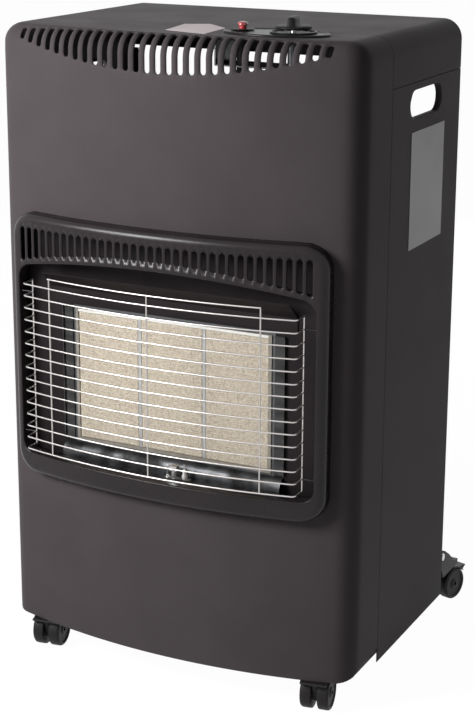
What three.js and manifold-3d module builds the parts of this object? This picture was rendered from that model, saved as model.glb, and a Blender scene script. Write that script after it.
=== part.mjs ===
// Portable gas cabinet heater: a sheet-metal cabinet on four twin-wheel casters, with a bowed front,
// a three-plaque ceramic burner behind a wire guard, and its gas valve and igniter under the top.
// Millimetres, +Z up. The pieces are worked out with x = 0 at the middle, y = 0 at the foremost line
// of the bowed front sheet, +Y towards the back and z = 0 on the floor; the whole is then centred.

import * as THREE from 'three';
import { mergeVertices } from 'three/addons/utils/BufferGeometryUtils.js';
import Module from 'manifold-3d';

const wasm = await Module();
wasm.setup();

// ---- driving dimensions -------------------------------------------------------------------------

const cabinetWidth = 432;
const cabinetHeight = 730;
const cabinetDepth = 313.6; // from the bowed front to the back edge of the side panels
const sheet = 1.2; // sheet metal
const seat = 0.3; // clearance wherever one piece rests on or fits into another

// front shell
const bowRadius = 735; // plan radius of the bowed front
const cornerRadius = 28; // upright front corners
const rollRadius = 22; // rolled edges of the top
const seamY = 108; // where the front shell meets the side panels and the top cover
const shellBottom = 39.5;
const flangeBottom = 49.5; // the front shell's side flange ends higher than its front
const sideBottom = 32.5;
const topFlangeDrop = 54; // how far the top cover turns down over the side panels
const rearFlangeDrop = 51;
const lapWidth = 14; // hidden strip by which one panel laps behind the next
const seamGap = 0.6;

// top slots
const slotCount = 29;
const slotSpan = cabinetWidth - 72; // between the middles of the outermost slots
const slotWidth = 6.6;
const slotLowMiddle = cabinetHeight - 40;
const slotRise = 25; // the outermost slots end this much higher
const slotBack = 21; // how far back on the top the middle slots run
const slotBackGain = 12;

// handle holes in the side panels
const handleLength = 92.6;
const handleHeight = 30;
const handleY = cabinetDepth - 106.5;
const handleZ = cabinetHeight - 78;
const handleRimWidth = 2;
const handleRimDepth = 6;

// base, bottle shelf and heat shield
const floorPlate = 1.5;
const floorTop = 53; // the bottle stands at this height
const trayFlange = 11.5;
const shelfPivotY = cabinetDepth + 6.9;
const shelfPivotZ = floorTop + 25;
const pivotRadius = 2.5;
const pivotHeadRadius = 4.5;
const pivotHeadLength = 2.6;
const lobeRadius = 8;
const shelfBack = cabinetDepth + 68.4;
const shelfFrontGap = 4.6;
const earX = cabinetWidth / 2 - 6.8; // inner face of the base tray's ears
const shieldY = seamY - lapWidth + seamGap;
const shieldTop = cabinetHeight - 170;
const shieldFlange = 5;

// bezel round the burner
const bezelProud = 17; // how far the bezel stands out of the front sheet
const bezelHalf = cabinetWidth / 2 - 25.5;
const bezelLow = 227;
const bezelHigh = 528;
const bezelCorner = 28;
const bezelEdge = 8; // rounded front edge
const bezelWall = 2.2;
const openingHalf = bezelHalf - 10.5;
const openingLow = 252;
const openingHigh = 486; // top of the arch in the middle
const archDrop = 17.5; // the arch is lower by this at its ends
const openingCorner = 14;
const windowMargin = 3; // from the bezel's opening to the window in the front shell
const windowTop = 512;
const ventCount = 35;
const ventMargin = 7.28; // from the opening's side to the middle of the outermost vent
const ventPitch = (2 * (openingHalf - ventMargin)) / (ventCount - 1);
const ventWidth = 5.6;
const ventTop = 513;
const ventLowMiddle = 496;
const ventDrop = 22.5;

// wire guard
const guardProud = 28;
const guardHalf = openingHalf - 15;
const guardDepth = 19; // from the front wires to the return wires
const guardWire = 2.4;
const guardLow = 262;
const guardPitch = 13.6;
const guardRows = 15;
const guardTop = 463; // the short wire above the full ones
const guardPost = guardHalf - 37.5; // x of the outer front uprights
const guardBend = 5;

// burner
const burnerY = 27.4; // front face of the plaques
const plaqueWidth = 75;
const plaqueHeight = 146;
const plaqueDepth = 13;
const plaqueLow = 272;
const separatorWidth = 3.7;
const gasketWidth = 3.4;
const gasketProud = 1;
const boxWall = 3.2;
const boxDepth = 44;
const boxFlange = 8;
const ledge = 4; // width of the step that holds the plaques
const surroundY = 28;
const surroundLow = 246.5;
const surroundHigh = 516;
const reflectorWidth = 12.4;
const deflectorPast = 33.2; // how far the hood deflector runs past the plaques
const deflectorFront = 6;
const deflectorRise = 35;
const trayPast = 18.2;
const trayRound = 11; // the tray's riser, in depth and height
const trayRise = 16;

// gas train
const manifoldZ = 222;
const manifoldY = 55;
const manifoldRadius = 6;
const manifoldPast = 18; // how far the manifold runs past the outer mixing tubes
const tubeRadius = 10.7;
const tubeWall = 1.4;
const bellRadius = 13;
const pipeRadius = 4;
const pilotPipeRadius = 2;
const pilotX = 13;
const pilotY = 8;

// controls
const knobX = 118;
const controlY = 76;
const buttonX = 60;
const plateCentreX = 101;
const plateCentreY = 71;
const plateHalfLength = 59;
const plateHalfWidth = 33;
const plateThickness = 1.7;
const bracketZ = cabinetHeight - 34;
const spindleRadius = 3;
const knobRadius = 19;
const knobTurn = 15; // the way the blade points at rest
const knobTravel = 3;
const knobHeight = 13;
const dialRing = 24.5;
const buttonRadius = 5.4;
const buttonTravel = 3;
const piezoRadius = 6.5;

// casters
const casterX = cabinetWidth / 2 - 43.2;
const casterY = 51.6;
const rearCasterX = cabinetWidth / 2 - 22.7;
const rearCasterY = shelfPivotY + 49.7;
const wheelRadius = 20;
const wheelWidth = 13;
const casterTrail = 12;
const forkWidth = 6;
const axleRadius = 2.5;
const stemRadius = 4;
const hoodRadius = 22.2;
const hoodFrom = 38; // degrees above the axle at which the hood's trailing edge stands
const lipReach = 24; // the lip that sticks out of that edge
const lipHalf = 14.2;
const wheelSides = 18;
const frontTurn = 9; // degrees that each caster is swivelled at rest
const rearTurn = 15;

// ---- colours ------------------------------------------------------------------------------------

const finish = (colour, roughness, metalness) => () =>
  new THREE.MeshStandardMaterial({ color: colour, roughness, metalness, flatShading: true });
const charcoal = finish(0x4a4446, 0.55, 0.2);
const black = finish(0x1c1a1a, 0.45, 0.1);
const plastic = finish(0x161515, 0.5, 0);
const steel = finish(0xb9b7b4, 0.35, 0.9);
const wire = finish(0xd8d8d6, 0.2, 1);
const ceramic = finish(0xd6cab4, 0.95, 0);
const paleMetal = finish(0xb8bdc4, 0.5, 0.5);
const white = finish(0xefece6, 0.9, 0);
const brass = finish(0xb08d4a, 0.35, 0.9);
const red = finish(0xa01e22, 0.4, 0);

// ---- solids -------------------------------------------------------------------------------------

const AXIS_X = new THREE.Vector3(1, 0, 0);
const AXIS_Y = new THREE.Vector3(0, 1, 0);
const AXIS_Z = new THREE.Vector3(0, 0, 1);
const heater = new THREE.Group();

// a closed manifold from any closed three.js geometry, turned outwards if it is inside out
function solid(geometry) {
  const bare = geometry.clone();
  for (const name of ['normal', 'uv']) bare.deleteAttribute(name);
  const merged = mergeVertices(bare, 1e-4);
  const vertices = Float32Array.from(merged.attributes.position.array);
  const faces = Uint32Array.from(merged.index.array);
  if (signedVolume(vertices, faces) < 0) {
    for (let i = 0; i < faces.length; i += 3) [faces[i], faces[i + 1]] = [faces[i + 1], faces[i]];
  }
  return new wasm.Manifold(new wasm.Mesh({ numProp: 3, vertProperties: vertices, triVerts: faces }));
}

function signedVolume(vertices, faces) {
  const corner = (i) => new THREE.Vector3().fromArray(vertices, 3 * faces[i]);
  let sum = 0;
  for (let i = 0; i < faces.length; i += 3) {
    sum += corner(i).dot(corner(i + 1).cross(corner(i + 2)));
  }
  return sum / 6;
}

function addPiece(name, body, material, parent = heater) {
  const mesh = body.getMesh();
  const geometry = new THREE.BufferGeometry();
  geometry.setAttribute('position', new THREE.BufferAttribute(Float32Array.from(mesh.vertProperties), 3));
  geometry.setIndex(new THREE.BufferAttribute(Uint32Array.from(mesh.triVerts), 1));
  geometry.computeVertexNormals();
  const piece = new THREE.Mesh(geometry, material());
  piece.name = name;
  parent.add(piece);
}

const join = (first, ...others) => others.reduce((sum, next) => sum.add(next), first);
const cut = (first, ...others) => others.reduce((rest, next) => rest.subtract(next), first);

function box(x0, x1, y0, y1, z0, z1) {
  const geometry = new THREE.BoxGeometry(x1 - x0, y1 - y0, z1 - z0);
  return solid(geometry.translate((x0 + x1) / 2, (y0 + y1) / 2, (z0 + z1) / 2));
}

// the same box on both sides of x = 0
const boxPair = (x0, x1, ...rest) => join(box(x0, x1, ...rest), box(-x1, -x0, ...rest));

function prism(points, depth) {
  const shape = new THREE.Shape(points.map(([a, b]) => new THREE.Vector2(a, b)));
  return new THREE.ExtrudeGeometry(shape, { depth, bevelEnabled: false });
}

// outlines drawn in plan, in side view (y, z) and in front view (x, z), given thickness
const planPrism = (points, z0, z1) => solid(prism(points, z1 - z0).translate(0, 0, z0));
const sidePrism = (points, x0, x1) =>
  solid(prism(points, x1 - x0)
    .applyMatrix4(new THREE.Matrix4().makeBasis(AXIS_Y, AXIS_Z, AXIS_X)).translate(x0, 0, 0));
const frontPrism = (points, y0, y1) =>
  solid(prism(points, y1 - y0).rotateX(Math.PI / 2).translate(0, y1, 0));

function arc(cx, cy, radius, from, to, steps) {
  return Array.from({ length: steps + 1 }, (_, i) => {
    const angle = THREE.MathUtils.degToRad(from + ((to - from) * i) / steps);
    return [cx + radius * Math.cos(angle), cy + radius * Math.sin(angle)];
  });
}

const circle = (cx, cy, radius, steps = 16) => arc(cx, cy, radius, 0, 360, steps).slice(0, -1);

function roundedRectangle(x0, x1, y0, y1, r, steps = 4) {
  return [
    ...arc(x1 - r, y1 - r, r, 0, 90, steps),
    ...arc(x0 + r, y1 - r, r, 90, 180, steps),
    ...arc(x0 + r, y0 + r, r, 180, 270, steps),
    ...arc(x1 - r, y0 + r, r, 270, 360, steps),
  ];
}

function uprightRod(x, y, z0, z1, radius, steps = 16) {
  return planPrism(circle(x, y, radius, steps), z0, z1);
}

function crossRod(x0, x1, y, z, radius, steps = 16) {
  return sidePrism(circle(y, z, radius, steps), x0, x1);
}

// sections one after another joined into a closed solid; `capFaces` covers one section with triangles
// that turn the same way as its points
function skin(rings, capFaces) {
  const count = rings[0].length;
  const last = (rings.length - 1) * count;
  const index = [];
  for (let start = 0; start < last; start += count) {
    for (let i = 0; i < count; i += 1) {
      const a = start + i;
      const b = start + ((i + 1) % count);
      index.push(a, b, b + count, a, b + count, a + count);
    }
  }
  for (const [a, b, c] of capFaces) index.push(a, c, b, last + a, last + b, last + c);
  const geometry = new THREE.BufferGeometry();
  geometry.setAttribute('position', new THREE.Float32BufferAttribute(rings.flat(2), 3));
  geometry.setIndex(index);
  return solid(geometry);
}

// sections at different heights, all with the same number of points
function loft(rings) {
  const outline = rings[0].map(([x, y]) => new THREE.Vector2(x, y));
  const faces = THREE.ShapeUtils.triangulateShape(outline, []);
  return skin(rings, THREE.ShapeUtils.isClockWise(outline) ? faces.map((face) => face.toReversed()) : faces);
}

// a rod of even section swept along straight runs joined by rounded bends
function sweptRod(points, radius, bend, sides = 8, bendSteps = 3) {
  const corners = points.map((point) => new THREE.Vector3(...point));
  const path = [corners[0]];
  for (let i = 1; i + 1 < corners.length; i += 1) {
    const back = corners[i - 1].clone().sub(corners[i]).setLength(bend).add(corners[i]);
    const on = corners[i + 1].clone().sub(corners[i]).setLength(bend).add(corners[i]);
    path.push(...new THREE.QuadraticBezierCurve3(back, corners[i], on).getPoints(bendSteps));
  }
  path.push(corners.at(-1));
  return rodAlong(path, radius, sides);
}

function rodAlong(path, radius, sides) {
  let up = null;
  const rings = path.map((point, i) => {
    const along = path[Math.min(i + 1, path.length - 1)].clone().sub(path[Math.max(i - 1, 0)]).normalize();
    up ??= Math.abs(along.z) > 0.9 ? AXIS_X.clone() : AXIS_Z.clone();
    up = up.clone().addScaledVector(along, -up.dot(along)).normalize();
    const across = along.clone().cross(up);
    return circle(0, 0, radius, sides).map(([a, b]) =>
      point.clone().addScaledVector(up, a).addScaledVector(across, b).toArray());
  });
  return skin(rings, Array.from({ length: sides - 2 }, (_, i) => [0, i + 1, i + 2]));
}

// ---- the bowed front ----------------------------------------------------------------------------

const bow = (x) => bowRadius - Math.sqrt(bowRadius ** 2 - x ** 2);
const halfWidth = cabinetWidth / 2;
const cornerX = halfWidth - cornerRadius;
const cornerY = bowRadius - Math.sqrt((bowRadius - cornerRadius) ** 2 - cornerX ** 2);
const frontAngle = THREE.MathUtils.radToDeg(Math.atan2(bowRadius - cornerY, cornerX));

// the cabinet's plan outline, drawn in by `inset`, closed by a straight line at `backY`
function planOutline(inset, backY, arcSteps = 14, cornerSteps = 5) {
  const radius = cornerRadius - inset;
  const right = arc(cornerX, cornerY, radius, 0, -frontAngle, cornerSteps);
  const front = arc(0, bowRadius, bowRadius - inset, -frontAngle, frontAngle - 180, arcSteps);
  const left = right.map(([x, y]) => [-x, y]).reverse();
  return [[halfWidth - inset, backY], ...right, ...front.slice(1, -1), ...left, [inset - halfWidth, backY]];
}

// a loaf of the cabinet's plan with a rolled top edge, its outside drawn in by `inset`
function loaf(inset, bottom, backY, steps = 5) {
  const radius = rollRadius - inset;
  const level = (drawnIn, z) => planOutline(inset + drawnIn, backY).map(([x, y]) => [x, y, z]);
  const rings = [level(0, bottom)];
  for (let k = 0; k <= steps; k += 1) {
    const angle = (Math.PI / 2) * (k / steps);
    rings.push(level(radius * (1 - Math.cos(angle)), cabinetHeight - rollRadius + radius * Math.sin(angle)));
  }
  return loft(rings);
}

// columns of a rounded front-view outline, as [x, lowest z, highest z]
function columns(half, radius, low, high, middleSteps = 10, cornerSteps = 3) {
  const xs = [];
  for (let i = 0; i < cornerSteps; i += 1) {
    xs.push(half - radius + radius * Math.cos((Math.PI / 2) * (i / cornerSteps)));
  }
  const straight = half - radius;
  for (let i = 0; i <= middleSteps; i += 1) xs.push(straight - (2 * straight * i) / middleSteps);
  for (let i = cornerSteps - 1; i >= 0; i -= 1) xs.push(-xs[i]);
  return xs.reverse().map((x) => {
    const past = Math.max(0, Math.abs(x) - straight);
    const drop = radius - Math.sqrt(Math.max(0, radius ** 2 - past ** 2));
    return [x, low(x) + drop, high(x) - drop];
  });
}

// front-view outlines set one behind the other, each bent to the bow at its own distance from it
function bowedSolid(layers) {
  const rings = layers.map(({ outline, off }) => {
    const bent = (x, z) => [x, bow(x) + off, z];
    return [...outline.map(([x, low]) => bent(x, low)),
      ...outline.toReversed().map(([x, , high]) => bent(x, high))];
  });
  const last = rings[0].length - 1;
  const faces = layers[0].outline.slice(1).flatMap((_, i) =>
    [[i, i + 1, last - i - 1], [i, last - i - 1, last - i]]);
  return skin(rings, faces);
}

const openingArch = (x) => openingHigh - archDrop * (x / openingHalf) ** 2;

// the bezel's opening, grown by `grow`
const openingOutline = (grow, top = openingArch) =>
  columns(openingHalf + grow, openingCorner + grow, () => openingLow - grow, (x) => top(x) + grow);

// ---- cabinet ------------------------------------------------------------------------------------

function frontShell() {
  const shell = cut(
    loaf(0, shellBottom, seamY + lapWidth),
    loaf(sheet, shellBottom - 1, seamY + 2 * lapWidth),
    box(-cabinetWidth, cabinetWidth, seamY, cabinetDepth, 0, cabinetHeight + 1),
  );
  const slots = [];
  for (let i = 0; i < slotCount; i += 1) {
    const x = slotSpan * (i / (slotCount - 1) - 0.5);
    const share = (x / (slotSpan / 2)) ** 2;
    const r = slotWidth / 2;
    const low = slotLowMiddle + slotRise * share;
    const back = slotBack + slotBackGain * share;
    const plan = [[x - r, -1], [x + r, -1], ...arc(x, back - r, r, 0, 180, 3)];
    const above = cabinetHeight + 1;
    const front = [...arc(x, low + r, r, 180, 360, 3), [x + r, above], [x - r, above]];
    slots.push(planPrism(plan, low - 1, above).intersect(frontPrism(front, -1, back + 1)));
  }
  const window = { outline: openingOutline(windowMargin, () => windowTop - windowMargin) };
  const opening = bowedSolid([{ ...window, off: -3 }, { ...window, off: sheet + 3 }]);
  const flangeCut = sidePrism(
    [[cornerY - 22, 0], [cornerY - 22, shellBottom - 1], [cornerY - 8, shellBottom + 4],
      [cornerY, flangeBottom], [seamY + 1, flangeBottom], [seamY + 1, 0]], -cabinetWidth, cabinetWidth);
  const shank = cabinetHeight - 2 * sheet;
  const knobHole = uprightRod(knobX, controlY, shank, cabinetHeight + 1, spindleRadius + 5);
  const buttonHole = uprightRod(buttonX, controlY, shank, cabinetHeight + 1, piezoRadius + seat);
  return cut(shell, ...slots, opening, flangeCut, knobHole, buttonHole);
}

const lapInner = halfWidth - 2 * sheet - seat; // inner face of every strip that laps behind a panel
const lapOuter = halfWidth - sheet - seat;
const panelTop = cabinetHeight - topFlangeDrop - seamGap;

function topCover() {
  const profile = (inset) => {
    const r = rollRadius - inset;
    const x = halfWidth - inset;
    return [[-x, cabinetHeight - topFlangeDrop - inset], [x, cabinetHeight - topFlangeDrop - inset],
      ...arc(x - r, cabinetHeight - inset - r, r, 0, 90, 5),
      ...arc(r - x, cabinetHeight - inset - r, r, 90, 180, 5)];
  };
  const front = seamY + seamGap;
  const cover = cut(frontPrism(profile(0), front, cabinetDepth),
    frontPrism(profile(sheet), front - 1, cabinetDepth + 1));
  const rear = frontPrism(profile(0), cabinetDepth - sheet, cabinetDepth)
    .subtract(box(-cabinetWidth, cabinetWidth, 0, cabinetDepth + 1, 0, cabinetHeight - rearFlangeDrop));
  const lapTop = cabinetHeight - sheet - seat;
  const lapHalf = halfWidth - rollRadius - 3;
  const lap = box(-lapHalf, lapHalf, seamY - lapWidth, front + 3, lapTop - sheet, lapTop);
  const step = box(-lapHalf, lapHalf, front + 0.4, front + 3, lapTop - sheet, cabinetHeight - sheet / 2);
  return join(cover, rear, lap, step);
}

// a side panel on the +X side, with its handle hole and the strips that lap behind its neighbours
function sidePanel() {
  const front = seamY + seamGap;
  const inner = halfWidth - sheet;
  const panel = box(inner, halfWidth, front, cabinetDepth, sideBottom, panelTop);
  const frontLap = sidePrism([[seamY - lapWidth, flangeBottom - 5], [seamY - lapWidth, panelTop - 4],
    [front + 3, panelTop - 4], [front + 3, sideBottom], [front, sideBottom]], lapInner, lapOuter);
  const frontStep = box(lapInner, inner + sheet / 2, front + 0.4, front + 3, sideBottom, panelTop - 4);
  const back = cabinetDepth - 2 * sheet;
  const topLap = box(lapInner, lapOuter, front + 4, back, panelTop - 8, panelTop + lapWidth);
  const topStep = box(lapInner, inner + sheet / 2, front + 4, back, panelTop - 8, panelTop - 0.4);
  const rearFlange = box(halfWidth - lapWidth, halfWidth - sheet / 2, cabinetDepth - sheet, cabinetDepth,
    shelfPivotZ + 2 * lobeRadius, panelTop);
  const stadium = (grow) => {
    const [along, up] = [handleLength / 2 + grow, handleHeight / 2 + grow];
    return roundedRectangle(handleY - along, handleY + along, handleZ - up, handleZ + up, up - 0.01, 5);
  };
  const rim = sidePrism(stadium(handleRimWidth), inner - handleRimDepth, halfWidth - sheet / 2);
  const hole = sidePrism(stadium(0), inner - handleRimDepth - 1, halfWidth + 1);
  return cut(join(panel, frontLap, frontStep, topLap, topStep, rearFlange, rim), hole);
}

const mirrored = (body) => {
  const mesh = body.getMesh();
  const vertices = Float32Array.from(mesh.vertProperties, (value, i) => (i % 3 === 0 ? -value : value));
  const faces = Uint32Array.from(mesh.triVerts);
  for (let i = 0; i < faces.length; i += 3) [faces[i], faces[i + 1]] = [faces[i + 1], faces[i]];
  return new wasm.Manifold(new wasm.Mesh({ numProp: 3, vertProperties: vertices, triVerts: faces }));
};

const trayInset = 2 * (sheet + seat);
const trayBack = cabinetDepth - sheet - seat;
const trayBottom = floorTop - trayFlange;
const cheekLow = trayBottom + 5;
const earReach = shelfPivotY + lobeRadius;

function baseTray() {
  const level = (inset, z) => planOutline(inset, trayBack - inset + trayInset).map(([x, y]) => [x, y, z]);
  const inner = trayInset + floorPlate;
  const tray = cut(loft([level(trayInset, trayBottom), level(trayInset, floorTop)]),
    loft([level(inner, trayBottom - 1), level(inner, floorTop - floorPlate)]));
  const earPoints = [[trayBack - 16, trayBottom], [earReach, cheekLow],
    ...arc(shelfPivotY, shelfPivotZ, lobeRadius, 0, 180, 8), [trayBack - 16, floorTop]];
  const ears = [1, -1].map((side) => {
    const x = side * earX;
    return sidePrism(earPoints, Math.min(x, x + side * floorPlate), Math.max(x, x + side * floorPlate));
  });
  const stemHoles = [casterX, -casterX].map((x) =>
    uprightRod(x, casterY, trayBottom, floorTop + 1, stemRadius + seat));
  const pivotHoles = crossRod(-halfWidth, halfWidth, shelfPivotY, shelfPivotZ, pivotRadius + seat, 12);
  return cut(join(tray, ...ears), ...stemHoles, pivotHoles);
}

const cheekX = earX + floorPlate + seat;

function bottleShelf() {
  const front = trayBack + shelfFrontGap;
  const low = floorTop - floorPlate;
  const wide = cheekX + floorPlate;
  const behindEars = earReach + 2;
  const deck = join(
    box(-(earX - seat), earX - seat, front, behindEars + 1, low, floorTop),
    box(-wide, wide, behindEars, shelfBack, low, floorTop),
    box(-wide, wide, shelfBack - floorPlate, shelfBack, cheekLow, floorTop),
  );
  const lobe = [[shelfPivotY - 3, shelfPivotZ - lobeRadius], [behindEars, cheekLow],
    [shelfBack, cheekLow], [shelfBack, floorTop], [shelfBack - 15, floorTop + 4],
    [shelfPivotY + 28, shelfPivotZ - 6.5], [shelfPivotY + 13, shelfPivotZ + 3],
    ...arc(shelfPivotY, shelfPivotZ, lobeRadius, 60, 240, 8)];
  const cheeks = [1, -1].map((side) => {
    const x = side * cheekX;
    return sidePrism(lobe, Math.min(x, x + side * floorPlate), Math.max(x, x + side * floorPlate));
  });
  const stemHoles = [rearCasterX, -rearCasterX].map((x) =>
    uprightRod(x, rearCasterY, trayBottom, floorTop + 1, stemRadius + seat));
  const pivotHoles = crossRod(-halfWidth, halfWidth, shelfPivotY, shelfPivotZ, pivotRadius + seat, 12);
  return cut(join(deck, ...cheeks), ...stemHoles, pivotHoles);
}

function pivotScrew(side) {
  const rod = (x0, x1, radius) => {
    const [a, b] = [side * x0, side * x1].sort((p, q) => p - q);
    return crossRod(a, b, shelfPivotY, shelfPivotZ, radius, 12);
  };
  const outside = cheekX + floorPlate + seat;
  return join(rod(earX - seat - 4, outside + 1, pivotRadius),
    rod(outside, outside + pivotHeadLength, pivotHeadRadius),
    rod(earX - seat - 3, earX - seat, pivotHeadRadius));
}

function heatShield() {
  const half = lapInner - seat;
  const low = floorTop + seat;
  return join(box(-half, half, shieldY, shieldY + sheet, low, shieldTop),
    box(-half, half, shieldY - shieldFlange, shieldY + sheet, shieldTop - sheet, shieldTop));
}

// ---- bezel and guard ----------------------------------------------------------------------------

function bezel() {
  const skin = (inset, back, front) => {
    const outline = (drawnIn) => columns(bezelHalf - drawnIn, bezelCorner - drawnIn,
      () => bezelLow + drawnIn, () => bezelHigh - drawnIn);
    const r = bezelEdge - inset;
    const layers = [{ outline: outline(inset), off: back }];
    for (let k = 0; k <= 3; k += 1) {
      const angle = (Math.PI / 2) * (k / 3);
      const drawnIn = inset + r * (1 - Math.cos(angle));
      layers.push({ outline: outline(drawnIn), off: front + r * (1 - Math.sin(angle)) });
    }
    return bowedSolid(layers);
  };
  const shell = cut(skin(0, -seat, -bezelProud), skin(bezelWall, 5, bezelWall - bezelProud));
  const sleeve = (grow, front, back) =>
    bowedSolid([{ outline: openingOutline(grow), off: front }, { outline: openingOutline(grow), off: back }]);
  const returnWall = sleeve(2, 1 - bezelProud, sheet + 2);
  const vents = [];
  for (let i = 0; i < ventCount; i += 1) {
    const x = ventPitch * (i - (ventCount - 1) / 2);
    const r = ventWidth / 2;
    const low = ventLowMiddle - ventDrop * (x / openingHalf) ** 2;
    const outline = roundedRectangle(x - r, x + r, low, ventTop, r - 0.01, 2);
    vents.push(frontPrism(outline, bow(x) - bezelProud - 4, bow(x) - bezelProud + 6));
  }
  return cut(join(shell, returnWall), sleeve(0, -bezelProud - 4, sheet + 8), ...vents);
}

function wireGuard() {
  const r = guardWire / 2;
  const y = (x) => bow(x) - guardProud;
  const backY = y(guardHalf) + guardDepth;
  const row = (z, half, bent) => {
    const steps = 6;
    const xs = Array.from({ length: steps + 1 }, (_, i) => half * ((2 * i) / steps - 1));
    const path = xs.map((x) => new THREE.Vector3(x, y(x), z));
    if (bent) {
      const turn = (side) => [
        new THREE.Vector3(side * (half - guardBend), y(half - guardBend), z),
        new THREE.Vector3(side * (half - 0.3 * guardBend), y(half) + 0.3 * guardBend, z),
        new THREE.Vector3(side * half, y(half) + guardBend, z),
        new THREE.Vector3(side * half, backY, z),
      ];
      path.splice(0, 1, ...turn(-1).reverse());
      path.splice(-1, 1, ...turn(1));
    }
    return rodAlong(path, r, 6);
  };
  const rows = Array.from({ length: guardRows }, (_, i) => row(guardLow + i * guardPitch, guardHalf, true));
  const highest = guardLow + (guardRows - 1) * guardPitch;
  const weld = 0.7 * guardWire;
  const posts = [-guardPost, 0, guardPost].map((x) =>
    uprightRod(x, y(x) + weld, guardLow - r, guardTop + r, r, 6));
  const returns = [-guardHalf, guardHalf].map((x) =>
    uprightRod(x, backY, guardLow - r, highest + r, r, 6));
  const hooks = [1, guardRows - 2].flatMap((i) => [-1, 1].map((side) => {
    const ends = [side * guardHalf, side * (openingHalf - seat)].sort((p, q) => p - q);
    return crossRod(...ends, backY, guardLow + i * guardPitch, r, 6);
  }));
  return join(...rows, row(guardTop, guardPost + 1, false), ...posts, ...returns, ...hooks);
}

// ---- burner -------------------------------------------------------------------------------------

const plaquePitch = plaqueWidth + separatorWidth + 2 * seat;
const fieldHalf = plaquePitch + plaqueWidth / 2;
const plaqueTop = plaqueLow + plaqueHeight;
const gasketHalf = fieldHalf + seat + gasketWidth;
const boxHalf = gasketHalf + seat + boxWall;
const boxLow = plaqueLow - seat - gasketWidth - seat - boxWall;
const boxHigh = plaqueTop + seat + gasketWidth + seat + boxWall;
const burnerBack = surroundY + boxDepth;

// a slab of the plaques' height and depth, `width` wide about x
const slab = (x, width) =>
  box(x - width / 2, x + width / 2, burnerY, burnerY + plaqueDepth, plaqueLow, plaqueTop);

function plaqueGasket() {
  const back = burnerY + plaqueDepth;
  const front = burnerY - gasketProud;
  const frame = (half, grow, y0, y1) => box(-half, half, y0, y1, plaqueLow - grow, plaqueTop + grow);
  return cut(frame(gasketHalf, seat + gasketWidth, front, back),
    frame(fieldHalf + seat, seat, front - 1, back + 1));
}

function burnerBox() {
  const step = burnerY + plaqueDepth + seat;
  const block = (grow, y0, y1) => box(-boxHalf - grow, boxHalf + grow, y0, y1, boxLow - grow, boxHigh + grow);
  const flangeFront = surroundY + sheet + seat;
  const tank = join(block(0, surroundY, burnerBack), block(boxFlange, flangeFront, flangeFront + 1.5));
  const pocket = block(-boxWall, surroundY - 1, step);
  const ribHalf = separatorWidth / 2 + seat + 2;
  const chambers = [-1, 0, 1].map((i) => {
    const left = i === -1 ? -fieldHalf + ledge : (i - 0.5) * plaquePitch + ribHalf;
    const right = i === 1 ? fieldHalf - ledge : (i + 0.5) * plaquePitch - ribHalf;
    return box(left, right, step - 1, burnerBack - boxWall, plaqueLow + ledge, plaqueTop - ledge);
  });
  const inlets = [-1, 0, 1].map((i) =>
    uprightRod(i * plaquePitch, manifoldY, boxLow - 1, plaqueLow + ledge + 1, tubeRadius + seat));
  return cut(tank, pocket, ...chambers, ...inlets);
}

// half the clear width inside the front shell at depth y, `inset` inside its outline
function clearHalf(y, inset) {
  const cosine = (bowRadius - cornerY) / (bowRadius - cornerRadius);
  if (y < cornerY - (cornerRadius - inset) * cosine) {
    return Math.sqrt((bowRadius - inset) ** 2 - (bowRadius - y) ** 2);
  }
  return cornerX + Math.sqrt((cornerRadius - inset) ** 2 - (cornerY - y) ** 2);
}

function burnerSurround() {
  const half = clearHalf(surroundY, sheet + seat) - seat;
  return cut(box(-half, half, surroundY, surroundY + sheet, surroundLow, surroundHigh),
    box(-boxHalf - seat, boxHalf + seat, surroundY - 1, burnerBack, boxLow - seat, boxHigh + seat));
}

function hoodDeflector() {
  const back = surroundY - seat;
  const low = boxHigh + 3;
  const outline = [[back, low], [back, low + 16], [deflectorFront + 1, low + deflectorRise],
    [deflectorFront, low + deflectorRise - 1], [back - sheet, low + 15.5], [back - sheet, low]];
  const half = fieldHalf + deflectorPast;
  return sidePrism(outline, -half, half);
}

function lowerTray() {
  const back = surroundY - seat;
  const top = openingLow - 2 - seat;
  const riser = (inset) => arc(0, 0, 1, 180, 90, 5).map(([a, b]) =>
    [back + (trayRound - inset) * a, top - inset + trayRise * b]);
  const outline = [[0, top - sheet], ...riser(sheet), ...riser(0).reverse(), [0, top]];
  const behindFront = planPrism(planOutline(sheet + seat, seamY), top - 5, top + 2 * trayRise);
  const stemHole = uprightRod(pilotX, pilotY, top - 5, top + 5, 3 + seat);
  const half = fieldHalf + trayPast;
  return sidePrism(outline, -half, half).intersect(behindFront).subtract(stemHole);
}

function reflector(side) {
  const back = surroundY - seat;
  const inner = boxHalf + seat;
  const strip = [[inner, back], [inner + reflectorWidth, back], [inner + reflectorWidth, back - sheet - 2],
    [inner + reflectorWidth - sheet, back - sheet - 2], [inner + reflectorWidth - sheet, back - sheet],
    [inner, back - sheet]];
  const body = planPrism(strip, boxLow + boxWall, boxHigh - boxWall);
  return side > 0 ? body : mirrored(body);
}

// ---- gas train ----------------------------------------------------------------------------------

const tubeLow = 238;
const tubeHigh = boxLow + 9;

function mixingTube(x) {
  const [outer, inner] = [tubeRadius, tubeRadius - tubeWall];
  const profile = [[inner, tubeHigh], [outer, tubeHigh], [outer, tubeLow + 7], [bellRadius, tubeLow],
    [bellRadius - tubeWall, tubeLow], [inner, tubeLow + 7]];
  const geometry = new THREE.LatheGeometry(
    [...profile, profile[0]].map(([r, h]) => new THREE.Vector2(r, h)), 16);
  return solid(geometry.rotateX(Math.PI / 2).translate(x, manifoldY, 0));
}

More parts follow.
